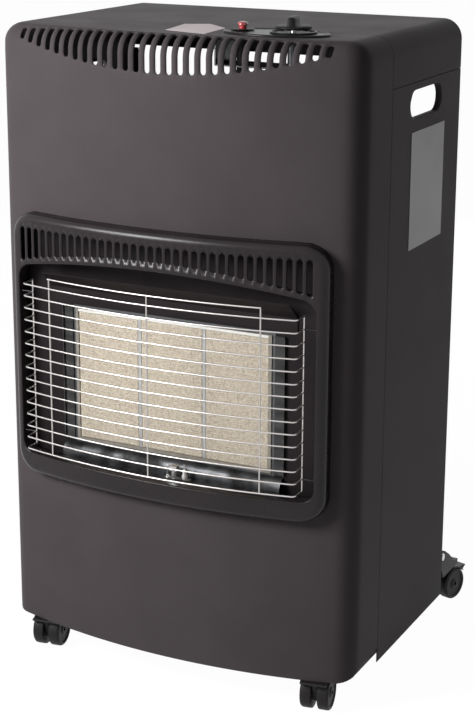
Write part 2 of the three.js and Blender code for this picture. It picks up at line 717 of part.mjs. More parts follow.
function injectorManifold() {
  const half = plaquePitch + manifoldPast;
  const bar = crossRod(-half, half, manifoldY, manifoldZ, manifoldRadius, 12);
  const nozzles = [-1, 0, 1].map((i) =>
    uprightRod(i * plaquePitch, manifoldY, manifoldZ, tubeLow + 3, 3, 8));
  const tabs = boxPair(39, 41, manifoldY - 6, manifoldY + 6, manifoldZ, boxLow - seat);
  return join(bar, ...nozzles, tabs);
}

const valveBottom = bracketZ - 48;
const valveTop = bracketZ - seat;
const pipeY = controlY + 8;

function gasPipe() {
  const end = plaquePitch + manifoldPast + seat;
  const route = [[knobX, pipeY, valveBottom - seat], [knobX, pipeY, manifoldZ],
    [knobX, manifoldY, manifoldZ], [end, manifoldY, manifoldZ]];
  return sweptRod(route, pipeRadius, 9, 8, 3);
}

function pilotPipe() {
  const x = knobX - 14;
  const z = surroundLow - 7;
  const y = surroundY - 8;
  const route = [[x, pipeY, valveBottom - seat], [x, pipeY, z], [x, y, z], [pilotX, y, z],
    [pilotX, pilotY, z], [pilotX, pilotY, z + 5]];
  return sweptRod(route, pilotPipeRadius, 4, 6, 2);
}

const pilotFloor = openingLow - 2; // the pilot bracket stands on the lower tray

function pilotBurner() {
  const foot = box(pilotX - 11, pilotX + 19, pilotY - 3, pilotY + 3.6, pilotFloor, pilotFloor + 1.5);
  const stem = uprightRod(pilotX, pilotY, surroundLow - 2 + seat, pilotFloor + 12, 3, 10);
  const hood = box(pilotX - 4.5, pilotX + 4.5, pilotY - 3, pilotY + 3.6, pilotFloor + 10, pilotFloor + 15);
  return join(foot, stem, hood);
}

function sparkElectrode() {
  const x = pilotX + 13;
  const z = pilotFloor + 1.5 + seat;
  return join(uprightRod(x, pilotY, z, z + 11, 3.2, 10), uprightRod(x, pilotY, z + 10, z + 17, 0.8, 6));
}

function thermocouple() {
  const x = pilotX - 7.5;
  const z = pilotFloor + 1.5 + seat;
  return join(uprightRod(x, pilotY, z, z + 13, 1.5, 8), uprightRod(x, pilotY, z, z + 4, 2.4, 8));
}

// ---- controls -----------------------------------------------------------------------------------

function controlBracket() {
  const [x0, x1] = [buttonX - 20, knobX + 47];
  const [y0, y1] = [controlY - 26, seamY - lapWidth - 2];
  const top = cabinetHeight - sheet - seat;
  const tray = join(box(x0, x1, y0, y1, bracketZ, bracketZ + floorPlate),
    box(x0, x0 + floorPlate, y0, y1, bracketZ, top), box(x1 - floorPlate, x1, y0, y1, bracketZ, top));
  return cut(tray, uprightRod(knobX, controlY, bracketZ - 1, bracketZ + 3, 6 + seat),
    uprightRod(buttonX, controlY, bracketZ - 1, bracketZ + 3, piezoRadius + seat));
}

function gasValve() {
  const body = box(knobX - 20, knobX + 18, controlY - 14, controlY + 14, valveBottom, valveBottom + 32);
  const neck = uprightRod(knobX, controlY, valveBottom + 30, valveTop, 8.5);
  const bush = uprightRod(knobX, controlY, valveTop - 2, cabinetHeight - sheet - 6, 6);
  const bore = uprightRod(knobX, controlY, valveBottom + 34, cabinetHeight, spindleRadius + seat);
  return cut(join(body, neck, bush), bore);
}

function hoseInlet() {
  const barbs = [[0, 0], [6, 0], [6, 8], [4, 9], [5, 11], [4, 16], [5, 18], [4, 23], [5, 25],
    [3.6, 32], [0, 32]];
  const geometry = new THREE.LatheGeometry(barbs.map(([r, h]) => new THREE.Vector2(r, h)), 12);
  return solid(geometry.translate(knobX, controlY + 14 + seat, valveBottom + 16));
}

const plateTop = cabinetHeight + seat + plateThickness;
const skirtBottom = plateTop + knobTravel + 0.5;

function valveSpindle() {
  return uprightRod(knobX, controlY, valveBottom + 40, skirtBottom + 10, spindleRadius);
}

function controlKnob() {
  const top = skirtBottom + knobHeight;
  const middle = new THREE.Vector2(knobX, controlY);
  const angle = THREE.MathUtils.degToRad(knobTurn);
  const turned = (half, length, r) => roundedRectangle(-half, half, -length, length, r, 3).map(([a, b]) =>
    new THREE.Vector2(a, b).add(middle).rotateAround(middle, angle).toArray());
  const skirt = uprightRod(knobX, controlY, skirtBottom, skirtBottom + 3.5, knobRadius, 24);
  const blade = planPrism(turned(5, 17.5, 4), skirtBottom + 2, top - 2);
  const crest = planPrism(turned(4, 16, 3), skirtBottom + 4, top);
  const socket = uprightRod(knobX, controlY, skirtBottom - 1, skirtBottom + 10 + seat, spindleRadius + seat);
  return cut(join(skirt, blade, crest), socket);
}

function escutcheon() {
  const low = cabinetHeight + seat;
  const outline = circle(0, 0, 1, 36).map(([a, b]) =>
    [plateCentreX + plateHalfLength * a, plateCentreY + plateHalfWidth * b]);
  const plate = planPrism(outline, low, plateTop);
  const ring = cut(uprightRod(knobX, controlY, low, plateTop + 1.2, dialRing, 24),
    uprightRod(knobX, controlY, plateTop, plateTop + 3, dialRing - 2.5, 24));
  return cut(join(plate, ring), uprightRod(knobX, controlY, low - 1, plateTop + 3, spindleRadius + 5),
    uprightRod(buttonX, controlY, low - 1, plateTop + 3, piezoRadius + seat));
}

const collarTop = plateTop + seat + 0.8;

function piezoIgniter() {
  const body = uprightRod(buttonX, controlY, valveBottom + 8, collarTop - 0.4, piezoRadius);
  const collar = uprightRod(buttonX, controlY, plateTop + seat, collarTop, piezoRadius + 6);
  const bore = uprightRod(buttonX, controlY, collarTop - 24, collarTop + 1, buttonRadius - 1.4 + seat);
  return cut(join(body, collar), bore);
}

function igniterButton() {
  const capLow = collarTop + buttonTravel + 0.3;
  return join(uprightRod(buttonX, controlY, collarTop - 19, capLow + 1, buttonRadius - 1.4),
    uprightRod(buttonX, controlY, capLow, capLow + 3, buttonRadius),
    uprightRod(buttonX, controlY, capLow + 2.5, capLow + 4, buttonRadius - 1.2));
}

// ---- casters ------------------------------------------------------------------------------------

// a caster about its swivel axis, trailing towards +Y of its own group
function casterHousing() {
  const z = wheelRadius;
  const inner = hoodRadius - 1.2;
  const width = forkWidth / 2 + 0.5 + wheelWidth + seat;
  const rim = arc(casterTrail, z, hoodRadius, hoodFrom, 180, 9);
  const hood = sidePrism([...rim, [casterTrail - 9, z - 8], [casterTrail + 9, z - 8]], -width, width);
  const lipTop = shellBottom - 0.7;
  const lip = sidePrism([[casterTrail + 10, lipTop], [casterTrail + lipReach, lipTop],
    [casterTrail + lipReach, lipTop - 1.4], rim[0]], -lipHalf, lipHalf);
  const top = floorTop - floorPlate - seat;
  const neck = uprightRod(0, 0, z + hoodRadius - 8, top, 9, 12);
  const stem = uprightRod(0, 0, top - 1, floorTop + 6, stemRadius, 10);
  const wells = [-1, 1].map((side) => {
    const ends = [side * (forkWidth / 2), side * (width + 1)].sort((p, q) => p - q);
    return sidePrism([...arc(casterTrail, z, inner, 0, 180, 12), [casterTrail - inner, 0],
      [casterTrail + inner, 0]], ...ends);
  });
  return cut(join(hood, lip, neck), ...wells, crossRod(-width, width, casterTrail, z, axleRadius + seat, 10))
    .add(stem);
}

function casterWheel(side) {
  const rim = wheelRadius / Math.cos(Math.PI / wheelSides);
  const bore = axleRadius + seat;
  const profile = [[bore, 0], [rim, 0], [rim, wheelWidth - 1.8], [rim - 1.8, wheelWidth],
    [bore, wheelWidth - 1]];
  const geometry = new THREE.LatheGeometry(
    [...profile, profile[0]].map(([r, h]) => new THREE.Vector2(r, h)), wheelSides);
  geometry.rotateY(Math.PI / wheelSides).rotateZ(-Math.PI / 2).translate(forkWidth / 2 + 0.5, 0, 0);
  if (side < 0) geometry.rotateZ(Math.PI);
  return solid(geometry.translate(0, casterTrail, wheelRadius));
}

function addCaster(name, x, y, turn) {
  const caster = new THREE.Group();
  caster.position.set(x, y, 0);
  caster.rotation.z = THREE.MathUtils.degToRad(turn);
  heater.add(caster);
  const reach = forkWidth / 2 + wheelWidth - 2;
  addPiece(`${name}_housing`, casterHousing(), plastic, caster);
  addPiece(`${name}_axle`, crossRod(-reach, reach, casterTrail, wheelRadius, axleRadius, 10), steel, caster);
  addPiece(`${name}_wheel_a`, casterWheel(1), plastic, caster);
  addPiece(`${name}_wheel_b`, casterWheel(-1), plastic, caster);
}

// ---- assembly -----------------------------------------------------------------------------------

addPiece('front_shell', frontShell(), charcoal);
addPiece('top_cover', topCover(), charcoal);
const rightPanel = sidePanel();
addPiece('side_panel_right', rightPanel, charcoal);
addPiece('side_panel_left', mirrored(rightPanel), charcoal);
addPiece('base_tray', baseTray(), black);
addPiece('bottle_shelf', bottleShelf(), black);
addPiece('shelf_screw_right', pivotScrew(1), steel);
addPiece('shelf_screw_left', pivotScrew(-1), steel);
addPiece('heat_shield', heatShield(), steel);

addPiece('bezel', bezel(), black);
addPiece('wire_guard', wireGuard(), wire);

addPiece('burner_surround', burnerSurround(), black);
addPiece('hood_deflector', hoodDeflector(), black);
addPiece('lower_tray', lowerTray(), steel);
addPiece('reflector_right', reflector(1), steel);
addPiece('reflector_left', reflector(-1), steel);
addPiece('burner_box', burnerBox(), paleMetal);
addPiece('plaque_gasket', plaqueGasket(), white);
for (const [place, i] of [['left', -1], ['centre', 0], ['right', 1]]) {
  addPiece(`plaque_${place}`, slab(i * plaquePitch, plaqueWidth), ceramic);
  addPiece(`mixing_tube_${place}`, mixingTube(i * plaquePitch), paleMetal);
}
addPiece('separator_left', slab(-plaquePitch / 2, separatorWidth), paleMetal);
addPiece('separator_right', slab(plaquePitch / 2, separatorWidth), paleMetal);

addPiece('injector_manifold', injectorManifold(), brass);
addPiece('gas_pipe', gasPipe(), paleMetal);
addPiece('pilot_pipe', pilotPipe(), paleMetal);
addPiece('pilot_burner', pilotBurner(), steel);
addPiece('spark_electrode', sparkElectrode(), white);
addPiece('thermocouple', thermocouple(), brass);

addPiece('control_bracket', controlBracket(), steel);
addPiece('gas_valve', gasValve(), brass);
addPiece('hose_inlet', hoseInlet(), brass);
addPiece('valve_spindle', valveSpindle(), steel);
addPiece('control_knob', controlKnob(), plastic);
addPiece('escutcheon', escutcheon(), plastic);
addPiece('piezo_igniter', piezoIgniter(), plastic);
addPiece('igniter_button', igniterButton(), red);

addCaster('caster_front_right', casterX, casterY, 180 + frontTurn);
addCaster('caster_front_left', -casterX, casterY, 180 + frontTurn);
addCaster('caster_rear_right', rearCasterX, rearCasterY, -rearTurn);
addCaster('caster_rear_left', -rearCasterX, rearCasterY, rearTurn);

// the origin is on the floor, in the middle of everything
heater.updateMatrixWorld(true);
const extent = new THREE.Box3().setFromObject(heater, true);
const centre = extent.getCenter(new THREE.Vector3());
heater.position.set(-centre.x, -centre.y, 0);
heater.updateMatrixWorld(true);

export default heater;
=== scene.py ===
import math
import bmesh
import bpy
import numpy as np
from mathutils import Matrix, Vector


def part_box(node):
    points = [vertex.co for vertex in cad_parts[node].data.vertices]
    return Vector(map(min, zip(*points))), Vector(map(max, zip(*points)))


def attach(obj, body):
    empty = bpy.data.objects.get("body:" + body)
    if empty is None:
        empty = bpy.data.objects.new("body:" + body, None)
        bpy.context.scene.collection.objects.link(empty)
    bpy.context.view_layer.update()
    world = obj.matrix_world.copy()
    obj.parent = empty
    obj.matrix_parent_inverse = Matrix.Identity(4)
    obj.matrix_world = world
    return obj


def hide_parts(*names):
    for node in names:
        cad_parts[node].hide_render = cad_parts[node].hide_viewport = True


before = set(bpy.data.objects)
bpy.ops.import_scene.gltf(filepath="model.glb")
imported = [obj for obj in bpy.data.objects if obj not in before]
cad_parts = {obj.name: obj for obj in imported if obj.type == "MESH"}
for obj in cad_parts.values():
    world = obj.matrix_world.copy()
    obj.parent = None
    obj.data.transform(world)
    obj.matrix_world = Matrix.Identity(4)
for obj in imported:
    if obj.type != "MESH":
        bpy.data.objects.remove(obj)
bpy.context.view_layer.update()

# Portable gas cabinet heater. Shapes are worked out in millimetres: x = 0 at the middle, y = 0 at the
# foremost line of the bowed front and growing backwards, z = 0 on the floor.
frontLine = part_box("front_shell")[0].y

# What a finish has where it says nothing else. Noise scales are per metre, bumpDepth is in metres, and a
# band is the part of the noise's range over which colour or roughness changes.
plainLook = dict(broadScale=14, broadDetail=4, fineScale=900, fineDetail=2, noiseRoughness=0.55,
                 colourBand=(0.35, 0.65), roughBand=(0.3, 0.7), grainFrom=0.58, grainTo=0.72, grainShare=0.6,
                 bump=0.2, bumpDepth=0.0002, metallic=0.0, specular=0.5, coat=0.0, coatRoughness=0.2)
shaderSockets = {"metallic": "Metallic", "specular": "Specular IOR Level", "coat": "Coat Weight",
                 "coatRoughness": "Coat Roughness"}


# Colour is the base and second colour mixed by broad noise, with the grain's colour laid over it where the
# fine noise is high. Roughness runs between its two values with the broad noise. Bump height is fine noise.
def makeMaterial(name, look):
    look = {**plainLook, **look}
    material = bpy.data.materials.new(name)
    material.use_nodes = True
    nodes, links = material.node_tree.nodes, material.node_tree.links
    shader = nodes["Principled BSDF"]
    place = nodes.new("ShaderNodeTexCoord").outputs["Object"]
    if "stretch" in look:
        mapping = nodes.new("ShaderNodeMapping")
        mapping.inputs["Scale"].default_value = look["stretch"]
        links.new(place, mapping.inputs["Vector"])
        place = mapping.outputs["Vector"]

    def noise(scale, detail):
        node = nodes.new("ShaderNodeTexNoise")
        node.inputs["Scale"].default_value = scale
        node.inputs["Detail"].default_value = detail
        node.inputs["Roughness"].default_value = look["noiseRoughness"]
        links.new(place, node.inputs["Vector"])
        return node.outputs["Fac"]

    def ramp(source, band, ends):
        node = nodes.new("ShaderNodeMapRange")
        for socket, value in zip(("From Min", "From Max", "To Min", "To Max"), (*band, *ends)):
            node.inputs[socket].default_value = value
        links.new(source, node.inputs["Value"])
        return node.outputs["Result"]

    def blend(factor, first, second):
        node = nodes.new("ShaderNodeMix")
        node.data_type = "RGBA"
        links.new(factor, node.inputs["Factor"])
        for socket, value in ((node.inputs[6], first), (node.inputs[7], second)):
            if isinstance(value, tuple):
                socket.default_value = (*value, 1)
            else:
                links.new(value, socket)
        return node.outputs[2]

    broad = noise(look["broadScale"], look["broadDetail"])
    fine = noise(look["fineScale"], look["fineDetail"])
    colour = blend(ramp(broad, look["colourBand"], (0, 1)), look["colour"], look["second"])
    if "grain" in look:
        speckle = ramp(fine, (look["grainFrom"], look["grainTo"]), (0, look["grainShare"]))
        colour = blend(speckle, colour, look["grain"])
    links.new(colour, shader.inputs["Base Color"])
    links.new(ramp(broad, look["roughBand"], look["roughness"]), shader.inputs["Roughness"])
    bump = nodes.new("ShaderNodeBump")
    bump.inputs["Strength"].default_value = look["bump"]
    bump.inputs["Distance"].default_value = look["bumpDepth"]
    links.new(fine, bump.inputs["Height"])
    links.new(bump.outputs["Normal"], shader.inputs["Normal"])
    for key, socket in shaderSockets.items():
        shader.inputs[socket].default_value = look[key]
    return material


finishes = {
    "charcoalCoat": dict(  # textured powder coat on the cabinet
        colour=(0.066, 0.057, 0.061), second=(0.073, 0.063, 0.067), grain=(0.094, 0.083, 0.087),
        roughness=(0.40, 0.48), fineScale=1500, bump=0.25, bumpDepth=0.00012, grainShare=0.35, specular=0.02),
    "blackEnamel": dict(  # bezel
        colour=(0.0155, 0.012, 0.0132), second=(0.020, 0.0155, 0.017), grain=(0.028, 0.023, 0.025),
        roughness=(0.23, 0.32), fineScale=700, bump=0.12, grainShare=0.3, specular=0.24),
    "blackSheet": dict(  # painted sheet inside and below
        colour=(0.014, 0.011, 0.012), second=(0.019, 0.015, 0.0165), grain=(0.029, 0.024, 0.026),
        roughness=(0.42, 0.55), specular=0.12),
    "trayEnamel": dict(  # steel tray under the plaques, darkened for painted shade, with broad patches of painted sheen
        colour=(0.075, 0.077, 0.08), second=(0.012, 0.012, 0.012), metallic=0.7, roughness=(0.34, 0.5),
        broadScale=48, fineScale=800, specular=0.2),
    "blackPlastic": dict(
        colour=(0.012, 0.012, 0.012), second=(0.017, 0.016, 0.016), grain=(0.03, 0.03, 0.03),
        roughness=(0.38, 0.5), fineScale=2200, bump=0.3, grainShare=0.25, specular=0.1),
    "wheelPlastic": dict(
        colour=(0.010, 0.009, 0.009), second=(0.015, 0.013, 0.013), grain=(0.030, 0.028, 0.028),
        roughness=(0.45, 0.6), fineScale=1300, bump=0.35, grainShare=0.3, specular=0.2),
    "glossPlastic": dict(
        colour=(0.008, 0.008, 0.009), second=(0.011, 0.010, 0.011), roughness=(0.25, 0.35), fineScale=500,
        bump=0.05, specular=0.1),
    "redPlastic": dict(
        colour=(0.40, 0.012, 0.018), second=(0.46, 0.018, 0.022), roughness=(0.14, 0.24), bump=0.08, coat=0.6,
        coatRoughness=0.08),
    "chromeWire": dict(
        colour=(0.60, 0.57, 0.56), second=(0.52, 0.50, 0.49), metallic=1.0, roughness=(0.26, 0.38),
        fineScale=1800, bump=0.12),
    "brightSteel": dict(
        colour=(0.62, 0.61, 0.60), second=(0.52, 0.51, 0.50), metallic=1.0, roughness=(0.22, 0.36),
        fineScale=1100, bump=0.15, stretch=(1, 1, 6)),
    "galvanised": dict(
        colour=(0.13, 0.135, 0.14), second=(0.105, 0.109, 0.113), metallic=1.0, roughness=(0.34, 0.52),
        broadScale=60, fineScale=600, bump=0.15),
    "hotSteel": dict(  # reflectors, dulled by heat
        colour=(0.075, 0.075, 0.075), second=(0.035, 0.035, 0.035), metallic=1.0, roughness=(0.28, 0.42),
        broadScale=22, fineScale=700, bump=0.15, stretch=(1, 1, 5)),
    "gasBrass": dict(
        colour=(0.34, 0.245, 0.115), second=(0.25, 0.18, 0.085), metallic=1.0, roughness=(0.25, 0.4),
        broadScale=40, bump=0.12),
    "ceramic": dict(  # chalky plaques
        colour=(0.59, 0.52, 0.42), second=(0.68, 0.61, 0.50), grain=(0.35, 0.28, 0.205), specular=0.1,
        roughness=(0.86, 0.96), broadScale=220, fineScale=430, bump=0.5, grainFrom=0.48, grainTo=0.66,
        grainShare=0.55),
    # painted shade: the white fibre seal darkened, a shaded copy of fibreSeal for the gasket's sides
    "sealPaintedShade": dict(
        colour=(0.34, 0.31, 0.27), second=(0.27, 0.25, 0.22), specular=0.15, roughness=(0.88, 0.97),
        broadScale=120, fineScale=1600, bump=0.6),
    "fibreSeal": dict(
        colour=(0.93, 0.92, 0.88), second=(0.87, 0.85, 0.80), specular=0.15, roughness=(0.88, 0.97),
        broadScale=120, fineScale=1600, bump=0.6),
    "stripSteel": dict(
        colour=(0.52, 0.52, 0.51), second=(0.42, 0.42, 0.41), metallic=0.3, roughness=(0.36, 0.5),
        fineScale=1100, bump=0.15, stretch=(1, 1, 4)),
    "whiteCeramic": dict(
        colour=(0.93, 0.92, 0.89), second=(0.88, 0.87, 0.84), roughness=(0.22, 0.34), fineScale=700, bump=0.1,
        coat=0.4),
    "greyLabel": dict(
        colour=(0.24, 0.23, 0.235), second=(0.27, 0.26, 0.265), roughness=(0.34, 0.46), fineScale=1700,
        bump=0.1),
    "pinkSticker": dict(
        colour=(0.62, 0.47, 0.50), second=(0.66, 0.52, 0.54), roughness=(0.3, 0.42), fineScale=1700,
        bump=0.08),
    "paleInk": dict(  # marks round the knob
        colour=(0.60, 0.60, 0.58), second=(0.54, 0.54, 0.52), roughness=(0.4, 0.5), fineScale=1700,
        bump=0.05),
}
materials = {name: makeMaterial(name, look) for name, look in finishes.items()}
print("materials:", len(materials))

meshing = dict(merge=0.00001, sharp=38)  # metres and degrees


# Millimetres of the drawing over a thousand, moved so that y = 0 is the front line in the frame.
def intoFrame(points):
    points = np.asarray(points, float).reshape(-1, 3) / 1000
    return points + np.array([0.0, frontLine, 0.0])


# A mesh from points and faces: doubles merged, faces turned outwards, smooth except across sharp edges.
def addPiece(name, points, faces, finish, body, replaces=(), slot=None, sharp=meshing["sharp"], closed=True):
    mesh = bpy.data.meshes.new(name)
    mesh.from_pydata(intoFrame(points).tolist(), [], [list(face) for face in faces])
    work = bmesh.new()
    work.from_mesh(mesh)
    bmesh.ops.remove_doubles(work, verts=work.verts, dist=meshing["merge"])
    bmesh.ops.dissolve_degenerate(work, edges=work.edges, dist=meshing["merge"])
    bmesh.ops.delete(work, geom=[vertex for vertex in work.verts if not vertex.link_faces], context="VERTS")
    if closed:
        bmesh.ops.recalc_face_normals(work, faces=work.faces)
    work.to_mesh(mesh)
    work.free()
    mesh.polygons.foreach_set("use_smooth", np.ones(len(mesh.polygons), bool))
    mesh.set_sharp_from_angle(angle=math.radians(sharp))
    mesh.materials.append(materials[finish])
    piece = bpy.data.objects.new(name, mesh)
    bpy.context.scene.collection.objects.link(piece)
    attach(piece, body)
    if replaces:
        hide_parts(*replaces)
    return piece


# Several pairs of points and faces as one pair, each face's numbers raised by the points before it.
def joined(*parts):
    points, faces, start = [], [], 0
    for partPoints, partFaces in parts:
        partPoints = np.asarray(partPoints, float).reshape(-1, 3)
        points.append(partPoints)
        faces += [[index + start for index in face] for face in partFaces]
        start += len(partPoints)
    return np.concatenate(points), faces


# Squares of a grid of points, each row joined to the next.
def gridFaces(rows, columns, closedColumns=False):
    index = np.arange(rows * columns).reshape(rows, columns)
    if closedColumns:
        index = np.concatenate([index, index[:, :1]], 1)
    a, b, c, d = index[:-1, :-1], index[:-1, 1:], index[1:, 1:], index[1:, :-1]
    return np.stack([a, b, c, d], -1).reshape(-1, 4).tolist()


# Two skins of a grid, with a rim wherever a kept square has neither a kept nor a covered neighbour.
def sheetSolid(outer, inner, keep=None, covered=None):
    rows, columns = outer.shape[:2]
    keep = np.ones((rows - 1, columns - 1), bool) if keep is None else keep
    solid = np.pad(keep if covered is None else keep | covered, 1)
    index = np.arange(rows * columns).reshape(rows, columns)
    far = rows * columns
    a, b, c, d = index[:-1, :-1], index[:-1, 1:], index[1:, 1:], index[1:, :-1]
    front = np.stack([a, b, c, d], -1)[keep]
    parts = [front, front[:, ::-1] + far]
    sides = ((solid[:-2, 1:-1], a, b), (solid[1:-1, 2:], b, c), (solid[2:, 1:-1], c, d),
             (solid[1:-1, :-2], d, a))
    for neighbour, start, end in sides:
        bare = keep & ~neighbour
        p, q = start[bare], end[bare]
        parts.append(np.stack([q, p, p + far, q + far], -1))
    points = np.concatenate([outer.reshape(-1, 3), inner.reshape(-1, 3)])
    return points, np.concatenate(parts).tolist()


# Closed rings of equal count joined in order, with a flat face over each end.
def ringsSolid(rings):
    rings = np.asarray(rings, float)
    count, sides = rings.shape[:2]
    faces = gridFaces(count, sides, True)
    faces += [list(range(sides))[::-1], list(range((count - 1) * sides, count * sides))]
    return rings.reshape(-1, 3), faces


# A flat outline set square to an axis (0, 1 or 2): level is its coordinate along that axis, and the
# outline's two columns are the other two coordinates in order.
def flatRing(outline, axis, level):
    return np.insert(np.asarray(outline, float), axis, level, axis=1)


# A flat outline stretched between two levels along an axis.
def slab(outline, axis, levels):
    return ringsSolid([flatRing(outline, axis, level) for level in levels])


# A block between two values of each coordinate.
def boxSolid(x0, x1, y0, y1, z0, z1):
    return slab([(x0, y0), (x1, y0), (x1, y1), (x0, y1)], 2, (z0, z1))


# A round wire: at each point of the path a circle square to the path's direction, the centre plus radius
# times cosine along one cross direction and sine along the other.
def sweep(path, radius, sides=10, up=(0, 0, 1)):
    path = np.asarray(path, float)
    along = np.gradient(path, axis=0)
    along /= np.linalg.norm(along, axis=1)[:, None]
    up = np.asarray(up, float) - (along @ np.asarray(up, float))[:, None] * along
    up /= np.linalg.norm(up, axis=1)[:, None]
    across = np.cross(along, up)
    angle = np.linspace(0, 2 * np.pi, sides, endpoint=False)
    radius = np.broadcast_to(np.asarray(radius, float), (len(path),))[:, None, None]
    circle = np.cos(angle)[None, :, None] * up[:, None] + np.sin(angle)[None, :, None] * across[:, None]
    return ringsSolid(path[:, None] + radius * circle)


# A profile of (radius, height) turned about the upright line through centre: x and y are the centre plus
# radius times cosine and sine, and z is foot plus height.
def lathe(profile, centre, sides=32, foot=0.0):
    profile = np.asarray(profile, float)
    angle = np.linspace(0, 2 * np.pi, sides, endpoint=False)
    x = centre[0] + profile[:, :1] * np.cos(angle)
    y = centre[1] + profile[:, :1] * np.sin(angle)
    z = np.broadcast_to(profile[:, 1:] + foot, x.shape)
    return ringsSolid(np.stack([x, y, z], -1))


# Columns of a grid over a row of slots: both edges of each slot and a few lines between neighbours. side
# says which way an edge moves as its slot widens, and crown how much a line takes part in the bars'
# rounding: (2 share - 1) squared times bar, and 1 at the edges.
def slotColumns(middles, width, between, bar):
    columns, sides, crowns = [], [], []
    for i, middle in enumerate(middles):
        columns += [middle, middle]
        sides += [-1, 1]
        crowns += [1, 1]
        if i + 1 < len(middles):
            step = middles[i + 1] - middle - width
            columns += [middle + width / 2 + share * step for share in between]
            sides += [0] * len(between)
            crowns += [(2 * share - 1) ** 2 * bar for share in between]
    return np.array(columns), np.array(sides), np.array(crowns)


# Rows of a grid along round-ended slots from tip to tip, and half the slots' width at each: near a tip it
# is the square root of half squared less (half - distance) squared, and elsewhere half.
def slotRows(start, end, half, tips, shares):
    way = 1 if np.mean(end - start) > 0 else -1
    tips = np.array(tips)
    tipWidth = np.sqrt(half ** 2 - (half - tips) ** 2)
    rows = [start + way * tip for tip in tips]
    rows += [start + way * half + share * (end - start - 2 * way * half) for share in shares]
    rows += [end - way * tip for tip in tips[::-1]]
    return rows, [*tipWidth, *[half] * len(shares), *tipWidth[::-1]]


cabinet = dict(half=216.0, height=730.0, depth=313.6, sheet=1.2, bow=735.0, corner=28.0, roll=22.0,
               seam=108.0, bottom=39.5, flangeBottom=49.5, sideBottom=32.5, topDrop=54.0, rearDrop=51.0,
               gap=0.6, lapReach=14.0, lapOver=3.0)
cornerX = cabinet["half"] - cabinet["corner"]
cornerY = cabinet["bow"] - math.sqrt((cabinet["bow"] - cabinet["corner"]) ** 2 - cornerX ** 2)
cornerAngle = np.linspace(math.asin(cornerX / (cabinet["bow"] - cabinet["corner"])), np.pi / 2, 9)
sideY = np.linspace(cornerY, cabinet["seam"], 8)
controls = dict(knobX=118.0, buttonX=60.0, y=76.0, hole=9.0, plateX=101.0, plateY=71.0, plateLong=59.0,
                plateWide=33.0)


# How far the front sheet lies behind its foremost line at x: the bow's radius less the root of radius
# squared less x squared.
def bow(x):
    return cabinet["bow"] - np.sqrt(cabinet["bow"] ** 2 - np.asarray(x, float) ** 2)


# The section that front, corners and sides share, at a distance up the sheet: straight to the roll, then a
# quarter circle. The skin is drawn in by inset + radius (1 - cos) and stands at straight + radius sin.
def rollSection(distance, inset):
    straight = cabinet["height"] - cabinet["roll"]
    angle = np.clip((distance - straight) / cabinet["roll"], 0, np.pi / 2)
    radius = cabinet["roll"] - inset
    drawnIn = inset + radius * (1 - np.cos(angle))
    return drawnIn, np.where(distance <= straight, distance, straight + radius * np.sin(angle))


# The bowed front at x: an arc whose radius is less by what the skin is drawn in. topShare moves it along
# the top towards the seam.
def frontSkin(distance, inset, xs, topShare):
    drawnIn, z = rollSection(distance, inset)
    y = cabinet["bow"] - np.sqrt((cabinet["bow"] - drawnIn) ** 2 - xs ** 2)
    y = y + topShare * (cabinet["seam"] - y)
    return np.stack([xs + 0 * z, y, z], -1)


# A rounded corner: x and y by sine and cosine about (cornerX, cornerY), with topShare as for the front.
def cornerSkin(distance, inset, topShare, side):
    drawnIn, z = rollSection(distance, inset)
    xs = cornerX + (cabinet["corner"] - drawnIn) * np.sin(cornerAngle)
    y = cornerY - (cabinet["corner"] - drawnIn) * np.cos(cornerAngle)
    y = y + topShare * (cabinet["seam"] - y)
    return np.stack([side * xs, y, z + 0 * xs], -1)


# The flat side flange from the corner back to the seam, drawn in at the roll.
def sideSkin(distance, inset, side):
    drawnIn, z = rollSection(distance, inset)
    return np.stack([side * (cabinet["half"] - drawnIn), np.broadcast_to(sideY[1:], z.shape), z], -1)


slots = dict(count=29, span=360.0, width=6.6, low=690.0, rise=25.0, back=21.0, backGain=12.0, crown=1.1,
             lip=3.0, between=(0.22, 0.5, 0.78), bar=0.75, tips=(0.12, 0.6, 1.6, 3.3), lines=12, tipShare=0.6)
shell = dict(rows=[cabinet["bottom"], 44, cabinet["flangeBottom"], 70, 110, 160, 205, 249, 300, 380, 450, 512,
                   540, 580, 620, 650],
             windowLow=249, windowHigh=512, below=(14, 3), above=(0.35, 0.7, 1.0),
             footBack=(22, 8, 0), footRise=(cabinet["bottom"], 43.5, cabinet["flangeBottom"]), topFrom=725)


